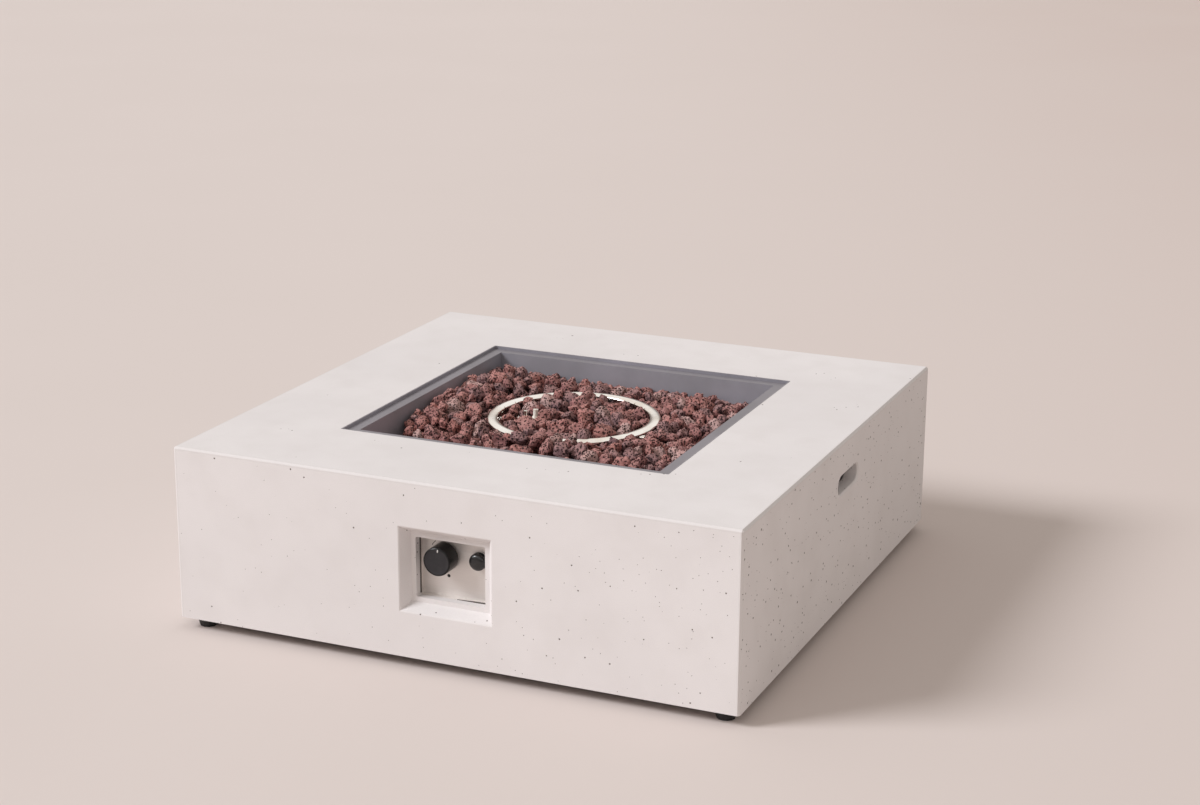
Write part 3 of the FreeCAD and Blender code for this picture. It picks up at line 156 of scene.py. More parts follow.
class Finish(Shop):
    """A material about one Principled shader, whose constant sockets are set by name."""

    def __init__(self, name, **constants):
        self.material = bpy.data.materials.new(name)
        self.material.use_nodes = True
        super().__init__(self.material.node_tree)
        self.shader = self.tree.nodes["Principled BSDF"]
        for socket, value in constants.items():
            self.set(socket.replace("_", " "), value)
        self.place = self.node("ShaderNodeTexCoord")["Object"]

    def set(self, socket, value):
        """Links or sets one socket of the shader, by its name."""
        self.join(value, self.shader.inputs[socket])

    def stretched(self, x, y, z):
        """The place on the piece, scaled along its axes."""
        inputs = {0: self.place, 1: (x, y, z)}
        return self.node("ShaderNodeVectorMath", {"operation": "MULTIPLY"}, inputs)["Vector"]

    def cloud(self, scale, detail=3, place=None, roughness=0.5):
        """Soft noise from 0 to 1, mostly near the middle, with a scale in lumps per metre."""
        inputs = {"Vector": place or self.place, "Scale": scale, "Detail": detail, "Roughness": roughness}
        return self.node("ShaderNodeTexNoise", None, inputs)["Fac"]

    def bump(self, height, distance, strength=1.0, under=None):
        """Raise the surface by a height from 0 to 1 times a distance in metres."""
        inputs = {"Strength": strength, "Distance": distance, "Height": height}
        if under is not None:
            inputs["Normal"] = under
        return self.node("ShaderNodeBump", None, inputs)["Normal"]

    def cover(self, *pieces):
        """Gives each piece this material and no other."""
        for piece in pieces:
            piece.data.materials.clear()
            piece.data.materials.append(self.material)


floor_mesh = bpy.data.meshes.new("floor")
corners = [(x * FLOOR_REACH, y * FLOOR_REACH, 0) for x, y in ((-1, -1), (1, -1), (1, 1), (-1, 1))]
floor_mesh.from_pydata(corners, [], [(0, 1, 2, 3)])
floor = bpy.data.objects.new("floor", floor_mesh)
bpy.context.scene.collection.objects.link(floor)
floor_finish = Finish("floor_paint", Roughness=0.85, Specular_IOR_Level=0.2)
floor_x, floor_y = floor_finish.split(floor_finish.place)[:2]
# The floor darkens towards the right: painted shade standing in for the lamp's falloff.
painted_falloff_share = (floor_x * TO_RIGHT[0] + floor_y * TO_RIGHT[1]).ramp(-0.6, 3.2)
floor_tone = floor_finish.mixed(painted_falloff_share, paint(*BACKGROUND), paint(205, 190, 183))
speckle = floor_finish.cloud(1.2, 2).ramp(0.3, 0.7) * 0.15
floor_finish.set("Base Color", floor_finish.mixed(speckle, floor_tone, paint(212, 201, 195)))
floor_finish.cover(floor)

world = bpy.data.worlds.new("room")
bpy.context.scene.world = world
world.use_nodes = True
room = Shop(world.node_tree)
rays = room.node("ShaderNodeLightPath")
mirrored = rays["Is Glossy Ray"].most(rays["Is Transmission Ray"])
upward = room.split(room.node("ShaderNodeTexCoord")["Generated"])[2]
in_metal = room.mixed(upward.ramp(0.12, 0.34), paint(120, 108, 101), paint(255, 253, 250))
room_tone = room.mixed(mirrored, ROOM_COLOUR, in_metal)
room_tone = room.mixed(rays["Is Camera Ray"], room_tone, paint(*BACKGROUND))
room.join(room_tone, world.node_tree.nodes["Background"].inputs["Color"])

lamp_data = bpy.data.lights.new("studio_lamp", "SUN")
lamp_data.angle, lamp_data.energy, lamp_data.color = LAMP_SPREAD, LAMP_STRENGTH, LAMP_COLOUR
lamp = bpy.data.objects.new("studio_lamp", lamp_data)
lamp.location = TO_LAMP * 5
lamp.rotation_euler = TO_LAMP.to_track_quat("Z", "Y").to_euler()
bpy.context.scene.collection.objects.link(lamp)

level = math.cos(CAMERA_PITCH)
back = Vector((math.sin(CAMERA_YAW) * level, -math.cos(CAMERA_YAW) * level, math.sin(CAMERA_PITCH)))
level_right = (-back).cross(Vector((0, 0, 1))).normalized()
level_up = level_right.cross(-back)
right = level_right * math.cos(CAMERA_ROLL) + level_up * math.sin(CAMERA_ROLL)
up = level_up * math.cos(CAMERA_ROLL) - level_right * math.sin(CAMERA_ROLL)
camera_data = bpy.data.cameras.new("camera")
camera_data.lens, camera_data.sensor_width = CAMERA_LENS, CAMERA_SENSOR
camera = bpy.data.objects.new("camera", camera_data)
camera.matrix_world = Matrix.Translation(CAMERA_PLACE) @ Matrix((right, up, back)).transposed().to_4x4()
bpy.context.scene.collection.objects.link(camera)
bpy.context.scene.camera = camera
bpy.context.scene.view_settings.view_transform = "Standard"

# ---------------------------------------------------------------- concrete shell
# The table's body is one hollow casting of fine pale concrete. Its top is smooth from the mould's floor, and
# its walls are pricked all over with the small holes that air bubbles leave, more of them towards its right.
# Its edges are rubbed a little greyer.

EDGE_WIDTH, EDGE_WANDER = 0.0035, 0.004
BUBBLES = ((0.0092, 0.50, 0.185), (0.021, 0.62, 0.094))
shell_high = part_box("concrete_shell")[1]
concrete = Finish("cast_concrete", Roughness=0.86, Specular_IOR_Level=0.25)
clouding = concrete.cloud(3.2, 4)
blotches = concrete.cloud(17, 4)
grain = concrete.cloud(900, 2)
shell_x, shell_y, shell_z = concrete.split(concrete.place)
to_side = shell_high.x - abs(shell_x)
to_front = shell_high.y - abs(shell_y)
to_top = shell_high.z - shell_z
rub_width = EDGE_WIDTH + EDGE_WANDER * concrete.cloud(60, 2)
near_side, near_front, near_top = to_side < rub_width, to_front < rub_width, to_top < rub_width
rubbed = (near_side * near_front).most((near_side * near_top).most(near_front * near_top))
tone = concrete.mixed(clouding.ramp(0.3, 0.7), paint(226, 221, 220), paint(232, 227, 226))
tone = concrete.mixed(blotches.ramp(0.35, 0.8) * 0.4, tone, paint(219, 213, 211))
tone = concrete.mixed(grain.ramp(0.35, 0.75) * 0.25, tone, paint(212, 205, 203))
tone = concrete.mixed(rubbed * 0.4, tone, paint(218, 213, 211))
wander_inputs = {"Vector": concrete.place, "Scale": 40.0, "Detail": 2.0}
wander = concrete.node("ShaderNodeTexNoise", None, wander_inputs)
shift = {0: wander["Color"], 1: (0.004, 0.004, 0.004), 2: concrete.place}
shifted = concrete.node("ShaderNodeVectorMath", {"operation": "MULTIPLY_ADD"}, shift)["Vector"]
more_to_right = (shell_x + shell_y * 0.3).ramp(-0.30, 0.30) * 1.2 + 0.6
holes = []
for pitch, share, reach in BUBBLES:
    bubbles = concrete.node("ShaderNodeTexVoronoi", None, {"Vector": shifted, "Scale": 1 / pitch})
    chance = concrete.node("ShaderNodeSeparateColor", None, {0: bubbles["Color"]})
    radius = reach * (chance["Green"] ** 2 * 0.7 + 0.3)
    open_here = chance["Red"] < share * more_to_right
    holes.append((bubbles["Distance"] < radius) * open_here)
on_wall = to_top > 0.006
few_on_top = (concrete.cloud(14, 1) > 0.66).most(on_wall)
pitted = holes[0].most(holes[1]) * few_on_top
# The pinholes are coloured dark brown: painted shade inside holes that are only a bump.
tone = concrete.mixed(pitted * 0.9, tone, paint(92, 79, 73))
concrete.set("Base Color", tone)
relief = concrete.bump(grain, 0.00025, 0.6)
relief = concrete.bump(blotches, 0.0006, 0.35, relief)
concrete.set("Normal", concrete.bump(1 - pitted, 0.0012, 1.0, relief))
concrete.cover(nodes["concrete_shell"])

# ---------------------------------------------------------------- levelling feet
# Four tapered black pads, each moulded on a zinc-plated steel stud. The studs screw up into the casting's
# corner blocks, so each foot can be let down to level the table.

moulded = Finish("moulded_black", Roughness=0.55)
scuff = moulded.cloud(300, 3)
moulded.set("Base Color", moulded.mixed(scuff.ramp(0.4, 0.8), paint(30, 30, 31), paint(52, 51, 50)))
moulded.set("Normal", moulded.bump(scuff, 0.0002))
zinc = Finish("zinc_plate", Metallic=1.0)
plating = zinc.cloud(120, 3)
zinc.set("Base Color", zinc.mixed(plating.ramp(0.3, 0.7), paint(186, 186, 184), paint(206, 205, 200)))
zinc.set("Roughness", plating * 0.2 + 0.28)
thread_inputs = {"Vector": zinc.place, "Scale": 125.0}
thread = zinc.node("ShaderNodeTexWave", {"bands_direction": "Z"}, thread_inputs)["Fac"]
zinc.set("Normal", zinc.bump(thread, 0.0002))
for corner in ("front_left", "front_right", "back_right", "back_left"):
    moulded.cover(nodes[f"foot_pad_{corner}"])
    zinc.cover(nodes[f"foot_stud_{corner}"])

# ---------------------------------------------------------------- burner pan
# A square pan welded of folded sheet steel, dropped into the opening: an upturned lip, a ledge and a sloped
# well. Its semi-matt finish is blue-grey, hazed a little by heat and dusted by the rock low on its walls. The
# ledge is darker, and a painted highlight runs along the top edge in places.

LEDGE_DEPTH = 0.012
pan_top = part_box("burner_pan")[1].z
pan_steel = Finish("satin_grey_steel", Metallic=0.5)
haze = pan_steel.cloud(9, 4)
rolled = pan_steel.cloud(1, 3, pan_steel.stretched(14, 900, 14))
below_top = pan_top - pan_steel.split(pan_steel.place)[2]
tone = pan_steel.mixed(haze.ramp(0.35, 0.7), paint(168, 165, 174), paint(152, 150, 157))
dust = (below_top - haze * 0.02).ramp(0.018, 0.045) * pan_steel.cloud(220, 4).ramp(0.35, 0.7)
tone = pan_steel.mixed(dust * 0.35, tone, paint(140, 122, 120))
# A painted highlight along the pan's top edge, broken up by noise.
painted_edge_highlight = below_top.ramp(0.0016, 0.0) * pan_steel.cloud(90, 3).ramp(0.3, 0.6)
facing_up = pan_steel.split(pan_steel.node("ShaderNodeNewGeometry")["Normal"])[2] > 0.7
ledge = facing_up * (below_top < LEDGE_DEPTH)
tone = pan_steel.mixed(ledge * 0.6, tone, paint(116, 108, 110))
tone = pan_steel.mixed(painted_edge_highlight * 0.3, tone, paint(196, 192, 194))
pan_steel.set("Base Color", tone)
pan_steel.set("Roughness", haze * 0.14 + rolled * 0.06 + dust * 0.2 + 0.36)
pan_steel.set("Normal", pan_steel.bump(rolled, 0.00005))
pan_steel.cover(nodes["burner_pan"])

# ---------------------------------------------------------------- ring burner
# A polished stainless tube, pressed flat and bent into a ring, with slits sawn round its inner side. Two
# short risers carry it on a cross tube, whose hub screws down on a nipple through the pan's floor.

RING_RADIUS, RING_MIDDLE = 0.129, 0.2655
RING_HALF_WIDTH, RING_HALF_HEIGHT, RING_SQUARENESS = 0.009, 0.0045, 2 / 2.1
RING_FACETS = 28
SLITS, SLIT_WIDTH, SLIT_DEPTH, SLIT_HALF_HEIGHT, SLIT_EDGE = 24, 0.0014, 0.0016, 0.0021, 0.0003
CROSS_REACH, CROSS_Z, HUB_FOOT_Z = 0.1363, 0.245, 0.2335


def turned(profile, base, axis, steps=64):
    """A form turned about an axis through its base. The profile's points are (radius, height), in order."""
    turn = axis.to_track_quat("Z", "Y").to_matrix()
    points, rings, faces = [], [], []
    for radius, height in profile:
        count = steps if radius else 1
        rings.append([len(points) + step % count for step in range(steps)])
        for step in range(count):
            angle = math.tau * step / steps
            place = Vector((radius * math.cos(angle), radius * math.sin(angle), height))
            points.append(base + turn @ place)
    for low, high in zip(rings, rings[1:]):
        for step in range(steps):
            following = (step + 1) % steps
            face = dict.fromkeys((low[step], low[following], high[following], high[step]))
            faces.append(list(face))
    return points, faces


def joined(*forms):
    """Several forms, each its points and faces, as one."""
    points, faces = [], []
    for form_points, form_faces in forms:
        faces += [[corner + len(points) for corner in face] for face in form_faces]
        points += form_points
    return points, faces


def piece(name, form, body, slot, crease=35):
    """An object of a form's points and faces, smooth but for its creases, riding on a body."""
    mesh = bpy.data.meshes.new(name)
    mesh.from_pydata(form[0], [], form[1])
    mesh.shade_smooth()
    mesh.set_sharp_from_angle(angle=math.radians(crease))
    made = bpy.data.objects.new(name, mesh)
    bpy.context.scene.collection.objects.link(made)
    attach(made, body)
    return made


def flattened_ring():
    """The ring itself: stations round it, closer at the edges of each slit, with the slit's floor let in."""
    inner = RING_RADIUS - RING_HALF_WIDTH
    pitch, half, wall = math.tau / SLITS, 0.5 * SLIT_WIDTH / inner, SLIT_EDGE / inner
    stations = []
    for slit in range(SLITS):
        middle = slit * pitch
        stations += [(middle - half - wall, 0), (middle - half, SLIT_DEPTH)]
        stations += [(middle + half, SLIT_DEPTH), (middle + half + wall, 0)]
        stations += [(middle + share * pitch, 0) for share in (0.2, 0.35, 0.5, 0.65, 0.8)]
    points, faces = [], []
    for angle, depth in stations:
        for facet in range(RING_FACETS):
            turn = math.tau * facet / RING_FACETS
            cosine, sine = math.cos(turn), math.sin(turn)
            across = math.copysign(abs(cosine) ** RING_SQUARENESS, cosine) * RING_HALF_WIDTH
            above = math.copysign(abs(sine) ** RING_SQUARENESS, sine) * RING_HALF_HEIGHT
            if across < 0 and abs(above) < SLIT_HALF_HEIGHT:
                across += depth
            radius = RING_RADIUS + across
            place = Vector((radius * math.cos(angle), radius * math.sin(angle), RING_MIDDLE + above))
            points.append(place)
    for station in range(len(stations)):
        following = (station + 1) % len(stations)
        for facet in range(RING_FACETS):
            above = (facet + 1) % RING_FACETS
            rows = (station * RING_FACETS, following * RING_FACETS)
            faces.append([rows[0] + facet, rows[1] + facet, rows[1] + above, rows[0] + above])
    return points, faces


def cross_and_hub():
    """The cross tube with its closed ends, the two welded risers and the tapped hub."""
    reach = CROSS_REACH
    tube_profile = [(0, 0), (0.0056, 0), (0.0066, 0.0005), (0.007, 0.0016)]
    tube_profile += [(r, 2 * reach - h) for r, h in reversed(tube_profile)]
    tube = turned(tube_profile, Vector((-reach, 0, CROSS_Z)), Vector((1, 0, 0)), 40)
    upright = Vector((0, 0, 1))
    riser_profile = [(0, 0), (0.0074, 0), (0.0066, 0.0012), (0.006, 0.0028)]
    riser_profile += [(0.006, 0.0088), (0.0066, 0.0104), (0.0075, 0.0118), (0, 0.0118)]
    feet = [Vector((x, 0, CROSS_Z + 0.0052)) for x in (-RING_RADIUS, RING_RADIUS)]
    risers = [turned(riser_profile, foot, upright, 32) for foot in feet]
    hub_profile = [(0, 0.0095), (0.0107, 0.0095), (0.0107, 0), (0.0142, 0)]
    hub_profile += [(0.015, 0.0008), (0.015, 0.0186), (0.0142, 0.0198), (0, 0.0198)]
    hub = turned(hub_profile, Vector((0, 0, HUB_FOOT_Z)), upright, 48)
    return joined(tube, *risers, hub)


polished = Finish("polished_steel", Metallic=1.0)
heat = polished.cloud(24, 4)
brushing = polished.cloud(1, 3, polished.stretched(60, 60, 900))
tone = polished.mixed(heat.ramp(0.35, 0.7), paint(244, 240, 235), paint(226, 216, 205))
tone = polished.mixed(polished.cloud(7, 2).ramp(0.5, 0.8) * 0.3, tone, paint(202, 186, 166))
polished.set("Base Color", tone)
polished.set("Roughness", heat * 0.1 + brushing * 0.05 + 0.09)
polished.set("Normal", polished.bump(brushing, 0.00003))
ring = piece("ring_burner_tube", joined(flattened_ring(), cross_and_hub()), "table", "burner_steel")
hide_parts("ring_burner")
polished.cover(ring)

# ---------------------------------------------------------------- nipple, locknuts and mixer
# A zinc-plated steel nipple runs from the hub through the pan's floor, where two locknuts clamp it. A turned
# brass air mixer screws on below.

zinc.cover(nodes["burner_nipple"], nodes["nipple_locknuts"])
brass = Finish("turned_brass", Metallic=1.0)
tarnish = brass.cloud(150, 3)
brass.set("Base Color", brass.mixed(tarnish.ramp(0.3, 0.7), paint(206, 168, 92), paint(172, 132, 70)))
brass.set("Roughness", tarnish * 0.2 + 0.22)
turning = brass.cloud(1, 2, brass.stretched(200, 200, 3000))
brass.set("Normal", brass.bump(turning, 0.00004))
brass.cover(nodes["air_mixer"])

# ---------------------------------------------------------------- control panel
# A shallow tray of brushed stainless sheet behind the niche, fixed to the casting by its flange. A dot below
# the knob and a short arc beside it are printed in black. Dark strips in the joint round the tray are painted
# shadow.

KNOB_X, CONTROL_Z, PANEL_FACE = -0.0175, 0.1685, -0.41
TICK_RADIUS, TICK_HALF_WIDTH = 0.0262, 0.0005
TICK_FROM, TICK_TO = math.radians(130), math.radians(150)
DOT_X, DOT_Z, DOT_RADIUS = -0.0137, 0.1380, 0.0025
STRIP_HEIGHT, STRIP_SHRINK = 0.0007, 0.985
SIDE_X, FOOT_Z = -0.0555, 0.1070
panel_steel = Finish("brushed_panel_steel", Metallic=1.0)
brushing = panel_steel.cloud(1, 3, panel_steel.stretched(30, 30, 1400))
smears = panel_steel.cloud(26, 4)
tone = panel_steel.mixed(brushing, paint(222, 216, 212), paint(234, 228, 224))
panel_x, panel_y, panel_z = panel_steel.split(panel_steel.place)
east, north = panel_x - KNOB_X, panel_z - CONTROL_Z
from_knob = (east * east + north * north) ** 0.5
heading = north.maths("ARCTAN2", north, east)
on_arc = abs(from_knob - TICK_RADIUS) < TICK_HALF_WIDTH
tick = on_arc * (heading > TICK_FROM) * (heading < TICK_TO)
dot_x, dot_z = panel_x - DOT_X, panel_z - DOT_Z
dot = ((dot_x * dot_x + dot_z * dot_z) ** 0.5) < DOT_RADIUS
printed = tick.most(dot) * (panel_y < PANEL_FACE + 0.0005)
panel_steel.set("Base Color", panel_steel.mixed(printed, tone, paint(26, 25, 25)))
panel_steel.set("Metallic", (1 - printed) * 0.62)
panel_steel.set("Roughness", brushing * 0.1 + smears.ramp(0.4, 0.8) * 0.06 + 0.40)
panel_steel.set("Normal", panel_steel.bump(brushing, 0.00003))
panel_steel.cover(nodes["control_panel"])


def shadow_strip_form():
    """Two thin dark strips of painted shadow in the tray's gap: one up its left side, one tapering along its
    foot.
    """
    up_side = ((-0.4198, 0.1080), (-0.4164, 0.1080), (-0.4168, 0.1975), (-0.4198, 0.1975))
    along_foot = ((0.0530, -0.4196), (0.0530, -0.4150), (0.0040, -0.4192), (0.0040, -0.4196))
    side = [(SIDE_X, y, z) for y, z in up_side]
    foot = [(x, y, FOOT_Z) for x, y in along_foot]
    points, faces = [], []
    for strip, off in ((side, Vector((STRIP_HEIGHT, 0, 0))), (foot, Vector((0, 0, STRIP_HEIGHT)))):
        middle = sum((Vector(corner) for corner in strip), Vector()) / 4
        first = len(points)
        for lift, share in ((0, 1.0), (0.7, 1.0), (1.0, STRIP_SHRINK)):
            points += [middle + (Vector(corner) - middle) * share + off * lift for corner in strip]
        for layer in (first, first + 4):
            for edge in range(4):
                following = (edge + 1) % 4
                faces.append([layer + edge, layer + following, layer + 4 + following, layer + 4 + edge])
        faces += [[first + 3, first + 2, first + 1, first], [first + 8, first + 9, first + 10, first + 11]]
    return points, faces


gap_shadow = Finish("painted_gap_shadow", Roughness=0.7)
gap_shadow_mottle = gap_shadow.cloud(700, 2)
gap_shadow.set("Base Color", gap_shadow.mixed(gap_shadow_mottle.ramp(0.3, 0.7), paint(72, 66, 62), paint(96, 88, 83)))
gap_shadow.set("Normal", gap_shadow.bump(gap_shadow_mottle, 0.0002))
# Dark strips standing in the gap round the tray: painted shadow of the gap.
tray_shadow_strip = piece("panel_tray_shadow_strip", shadow_strip_form(), "table", "black_plastic")
gap_shadow.cover(tray_shadow_strip)

# ---------------------------------------------------------------- control knob and gas valve
# A glossy black moulded knob with a matt dark grey face and a short white pointer, pushed on the flat of a
# steel stem. The valve behind the panel is an alloy casting with brass fittings and a zinc-plated bonnet, and
# the spring in the bonnet pushes the stem out.

KNOB_RADIUS, FACE_RADIUS, FACE_PROUD = 0.0215, 0.0190, 0.0308
POINTER_TURN, POINTER_OUT, POINTER_STEPS = math.radians(83), 0.0172, 24
POINTER_HALF_LENGTH, POINTER_HALF_WIDTH = 0.0013, 0.0008
PUSH_ROOM, SPRING_WIRE, SPRING_TURNS, SPRING_STEPS, WIRE_SIDES = 0.0033, 0.0006, 4.5, 108, 8
FORWARD = Vector((0, -1, 0))


def knob_form():
    """The knob's skirt, hollow from behind with a boss for the stem, and its shallow dished face."""
    profile = [(0, 0.0052), (0.0062, 0.0052), (0.0066, 0.0056), (0.0066, 0.0235), (0.0185, 0.0235)]
    profile += [(0.0192, 0.0228), (0.0196, 0.0042), (0.0212, 0.004), (KNOB_RADIUS, 0.0044)]
    profile += [(KNOB_RADIUS, 0.0294), (0.0213, 0.0304), (0.0208, 0.0312), (0.0200, 0.0317)]
    profile += [(0.0192, 0.0316), (0.0186, 0.0313), (0.0120, 0.0311), (0, 0.0311)]
    return turned(profile, Vector((KNOB_X, PANEL_FACE, CONTROL_Z)), FORWARD, 128)


def pointer_form():
    """A raised bar with round ends and softened top, standing on the knob's face and pointing outward."""
    outward = Vector((math.cos(POINTER_TURN), 0, math.sin(POINTER_TURN)))
    across = Vector((outward.z, 0, -outward.x))
    middle = Vector((KNOB_X, PANEL_FACE, CONTROL_Z)) + outward * POINTER_OUT
    steps, outline = POINTER_STEPS, []
    for step in range(steps):
        angle = math.tau * step / steps
        end = math.copysign(POINTER_HALF_LENGTH, math.cos(angle))
        outline.append((end + POINTER_HALF_WIDTH * math.cos(angle), POINTER_HALF_WIDTH * math.sin(angle)))
    points, faces = [], []
    for height, share in ((0.0309, 1.0), (0.0317, 1.0), (0.0320, 0.72)):
        for along, aside in outline:
            points.append(middle + outward * along * share + across * aside * share + FORWARD * height)
    for layer in (0, steps):
        for step in range(steps):
            following = (step + 1) % steps
            faces.append([layer + step, layer + steps + step, layer + steps + following, layer + following])
    faces += [list(range(steps)), list(range(3 * steps - 1, 2 * steps - 1, -1))]
    return points, faces


def coil_form(node):
    """A spring of round wire along Y in a CAD spring's place, short in front by what is pushed towards it."""
    low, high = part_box(node)
    radius = (high.x - low.x) / 2 - SPRING_WIRE
    front = Vector(((low.x + high.x) / 2, low.y + PUSH_ROOM + SPRING_WIRE, (low.z + high.z) / 2))
    length = high.y - SPRING_WIRE - front.y
    points, faces = [], []
    for step in range(SPRING_STEPS + 1):
        angle = math.tau * SPRING_TURNS * step / SPRING_STEPS
        outward = Vector((math.cos(angle), 0, math.sin(angle)))
        middle = front + Vector((0, length * step / SPRING_STEPS, 0)) + outward * radius
        for side in range(WIRE_SIDES):
            way = math.tau * side / WIRE_SIDES
            along = Vector((0, SPRING_WIRE * math.sin(way), 0))
            points.append(middle + outward * SPRING_WIRE * math.cos(way) + along)
    for step in range(SPRING_STEPS):
        for side in range(WIRE_SIDES):
            first, following = step * WIRE_SIDES + side, step * WIRE_SIDES + (side + 1) % WIRE_SIDES
            faces.append([first, following, following + WIRE_SIDES, first + WIRE_SIDES])
    last = SPRING_STEPS * WIRE_SIDES
    faces += [list(range(WIRE_SIDES - 1, -1, -1)), list(range(last, last + WIRE_SIDES))]
    return points, faces


alloy = Finish("die_cast_alloy", Metallic=1.0)
skin = alloy.cloud(260, 3)
alloy.set("Base Color", alloy.mixed(skin.ramp(0.3, 0.7), paint(176, 177, 180), paint(150, 151, 154)))
alloy.set("Roughness", skin * 0.2 + 0.42)
alloy.set("Normal", alloy.bump(skin, 0.0002))
alloy.cover(nodes["valve_body"])
glossy = Finish("glossy_black", Coat_Weight=0.3, Coat_Roughness=0.12)
marks = glossy.cloud(260, 3)
glossy.set("Base Color", glossy.mixed(marks.ramp(0.4, 0.7), paint(20, 19, 20), paint(30, 29, 30)))
glossy.set("Roughness", marks * 0.12 + 0.24)
glossy.set("Normal", glossy.bump(marks, 0.00005))
knob_black = Finish("knob_black", Specular_IOR_Level=0.3)
knob_x, knob_y, knob_z = knob_black.split(knob_black.place)
face_x, face_z = knob_x - KNOB_X, knob_z - CONTROL_Z
from_middle = (face_x * face_x + face_z * face_z) ** 0.5
on_face = (from_middle < FACE_RADIUS) * (knob_y < PANEL_FACE - FACE_PROUD)
wiped = knob_black.cloud(120, 4)
face_tone = knob_black.mixed(wiped.ramp(0.35, 0.75), paint(44, 42, 44), paint(50, 48, 50))
side_tone = knob_black.mixed(wiped.ramp(0.4, 0.7), paint(16, 15, 16), paint(22, 21, 21))
knob_black.set("Base Color", knob_black.mixed(on_face, side_tone, face_tone))
knob_black.set("Roughness", on_face * 0.26 + wiped * 0.03 + 0.27)
knob_black.set("Normal", knob_black.bump(knob_black.cloud(1500, 2), 0.00006))
knob = piece("knob_cap", knob_form(), "knob", "black_plastic")
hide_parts("control_knob")
knob_black.cover(knob)
pointer_white = Finish("pointer_white", Roughness=0.4)
specks = pointer_white.cloud(900, 2)
pointer_white.set("Base Color", pointer_white.mixed(specks, paint(238, 236, 232), paint(216, 212, 206)))
pointer = piece("knob_pointer", pointer_form(), "knob", "black_plastic")
pointer_white.cover(pointer)
brass.cover(nodes["stem_collar"], nodes["inlet_fitting"], nodes["magnet_unit"], nodes["thermocouple_nut"])
stem_coil = piece("stem_coil", coil_form("stem_spring"), "table", "zinc_steel")
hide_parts("stem_spring")
zinc.cover(nodes["valve_stem"], stem_coil, nodes["valve_bonnet"])

# ---------------------------------------------------------------- igniter
# A moulded barrel through the panel, held by a nut behind it, with a domed black button that slides over its
# neck. The barrel holds a battery and a spring, and a brass terminal stands at its back.

BUTTON_X, BATTERY_BAND_Y = 0.036, -0.362


def button_form():
    """The button's domed cap, hollow behind, with a softened shoulder."""
    profile = [(0, 0.0110), (0.0102, 0.0110), (0.0104, 0.0108), (0.0106, 0.0052), (0.0125, 0.0052)]
    profile += [(0.013, 0.0056), (0.013, 0.0064), (0.0128, 0.0080), (0.0122, 0.0094), (0.0111, 0.0107)]
    profile += [(0.0094, 0.0117), (0.0070, 0.0125), (0.0040, 0.0129), (0, 0.0130)]
    return turned(profile, Vector((BUTTON_X, PANEL_FACE, CONTROL_Z)), FORWARD, 96)


button = piece("igniter_cap", button_form(), "igniter_button", "black_plastic")
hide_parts("igniter_button")
glossy.cover(button, nodes["igniter_housing"], nodes["igniter_nut"], nodes["button_plunger"])
wrap = Finish("battery_wrap", Roughness=0.35)
in_band = wrap.split(wrap.place)[1] > BATTERY_BAND_Y
banded = wrap.mixed(in_band, paint(30, 30, 34), paint(176, 140, 84))
wrap.set("Base Color", wrap.mixed(wrap.cloud(160, 3).ramp(0.4, 0.8) * 0.3, banded, paint(70, 66, 62)))
wrap.cover(nodes["igniter_battery"])
button_coil = piece("button_coil", coil_form("igniter_spring"), "table", "zinc_steel")
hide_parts("igniter_spring")
zinc.cover(button_coil)
brass.cover(nodes["igniter_terminal"])

# ---------------------------------------------------------------- pilot
# A bent steel bracket stands on the pan's floor beside the cross tube. It holds a glazed white ceramic
# electrode with a steel rod, and a thermocouple's probe.

glaze = Finish("white_ceramic", Roughness=0.3)
soot = glaze.cloud(90, 3).ramp(0.4, 0.8)
glaze.set("Base Color", glaze.mixed(soot, paint(240, 236, 228), paint(216, 205, 190)))
glaze.set("Normal", glaze.bump(glaze.cloud(700, 2), 0.00006))
glaze.cover(nodes["electrode_ceramic"])
polished.cover(nodes["pilot_bracket"], nodes["thermocouple_probe"], nodes["electrode_rod"])

# ---------------------------------------------------------------- tubes and wires
# A bent aluminium tube runs from the valve to the mixer, with the thermocouple's thin copper lead and a
# sleeved spark wire beside it, each from its fitting behind the panel to its own place under the pan.


def run(name, places, diameter):
    """A round tube or wire along one smooth line. Its control points and diameter are in millimetres."""
    line = bpy.data.curves.new(name, "CURVE")
    line.dimensions, line.use_fill_caps = "3D", True
    line.bevel_depth, line.bevel_resolution = 1, 5
    spline = line.splines.new("NURBS")
    spline.points.add(len(places) - 1)
    for point, place in zip(spline.points, places):
        point.co = (*(length / 1000 for length in place), 1)
        point.radius = diameter / 2000
    spline.order_u, spline.use_endpoint_u, spline.resolution_u = 3, True, 16
    made = bpy.data.objects.new(name, line)
    bpy.context.scene.collection.objects.link(made)
    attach(made, "table")
    return made


gas_line = run("gas_line", [
    (-57.5, -376.5, 168.5), (-80, -376.5, 168.5), (-119.5, -376.5, 168.5),
    (0, 0, 102.8), (0, 0, 138), (0, 0, 160.8),
], 10)
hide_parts("gas_tube")
probe_lead = run("probe_lead", [
    (-17.5, -339.5, 168.5), (-17.5, -279.5, 168.5),
    (-77.5, -14.5, 158.5), (-77.5, -14.5, 205), (-77.5, -14.5, 247.8),
], 2.6)
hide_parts("thermocouple_lead")
spark_wire = run("spark_wire", [
    (36, -339, 168.5), (36, -279, 168.5), (-59.5, -14.5, 143.5), (-59.5, -14.5, 202.8),
], 3.2)
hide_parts("ignition_wire")
drawn = Finish("drawn_aluminium", Metallic=1.0)
drawn.set("Base Color", drawn.mixed(drawn.cloud(60, 3), paint(196, 197, 200), paint(178, 179, 182)))
drawn.set("Roughness", drawn.cloud(200, 2) * 0.2 + 0.25)
drawn.set("Normal", drawn.bump(drawn.cloud(400, 3), 0.00006))
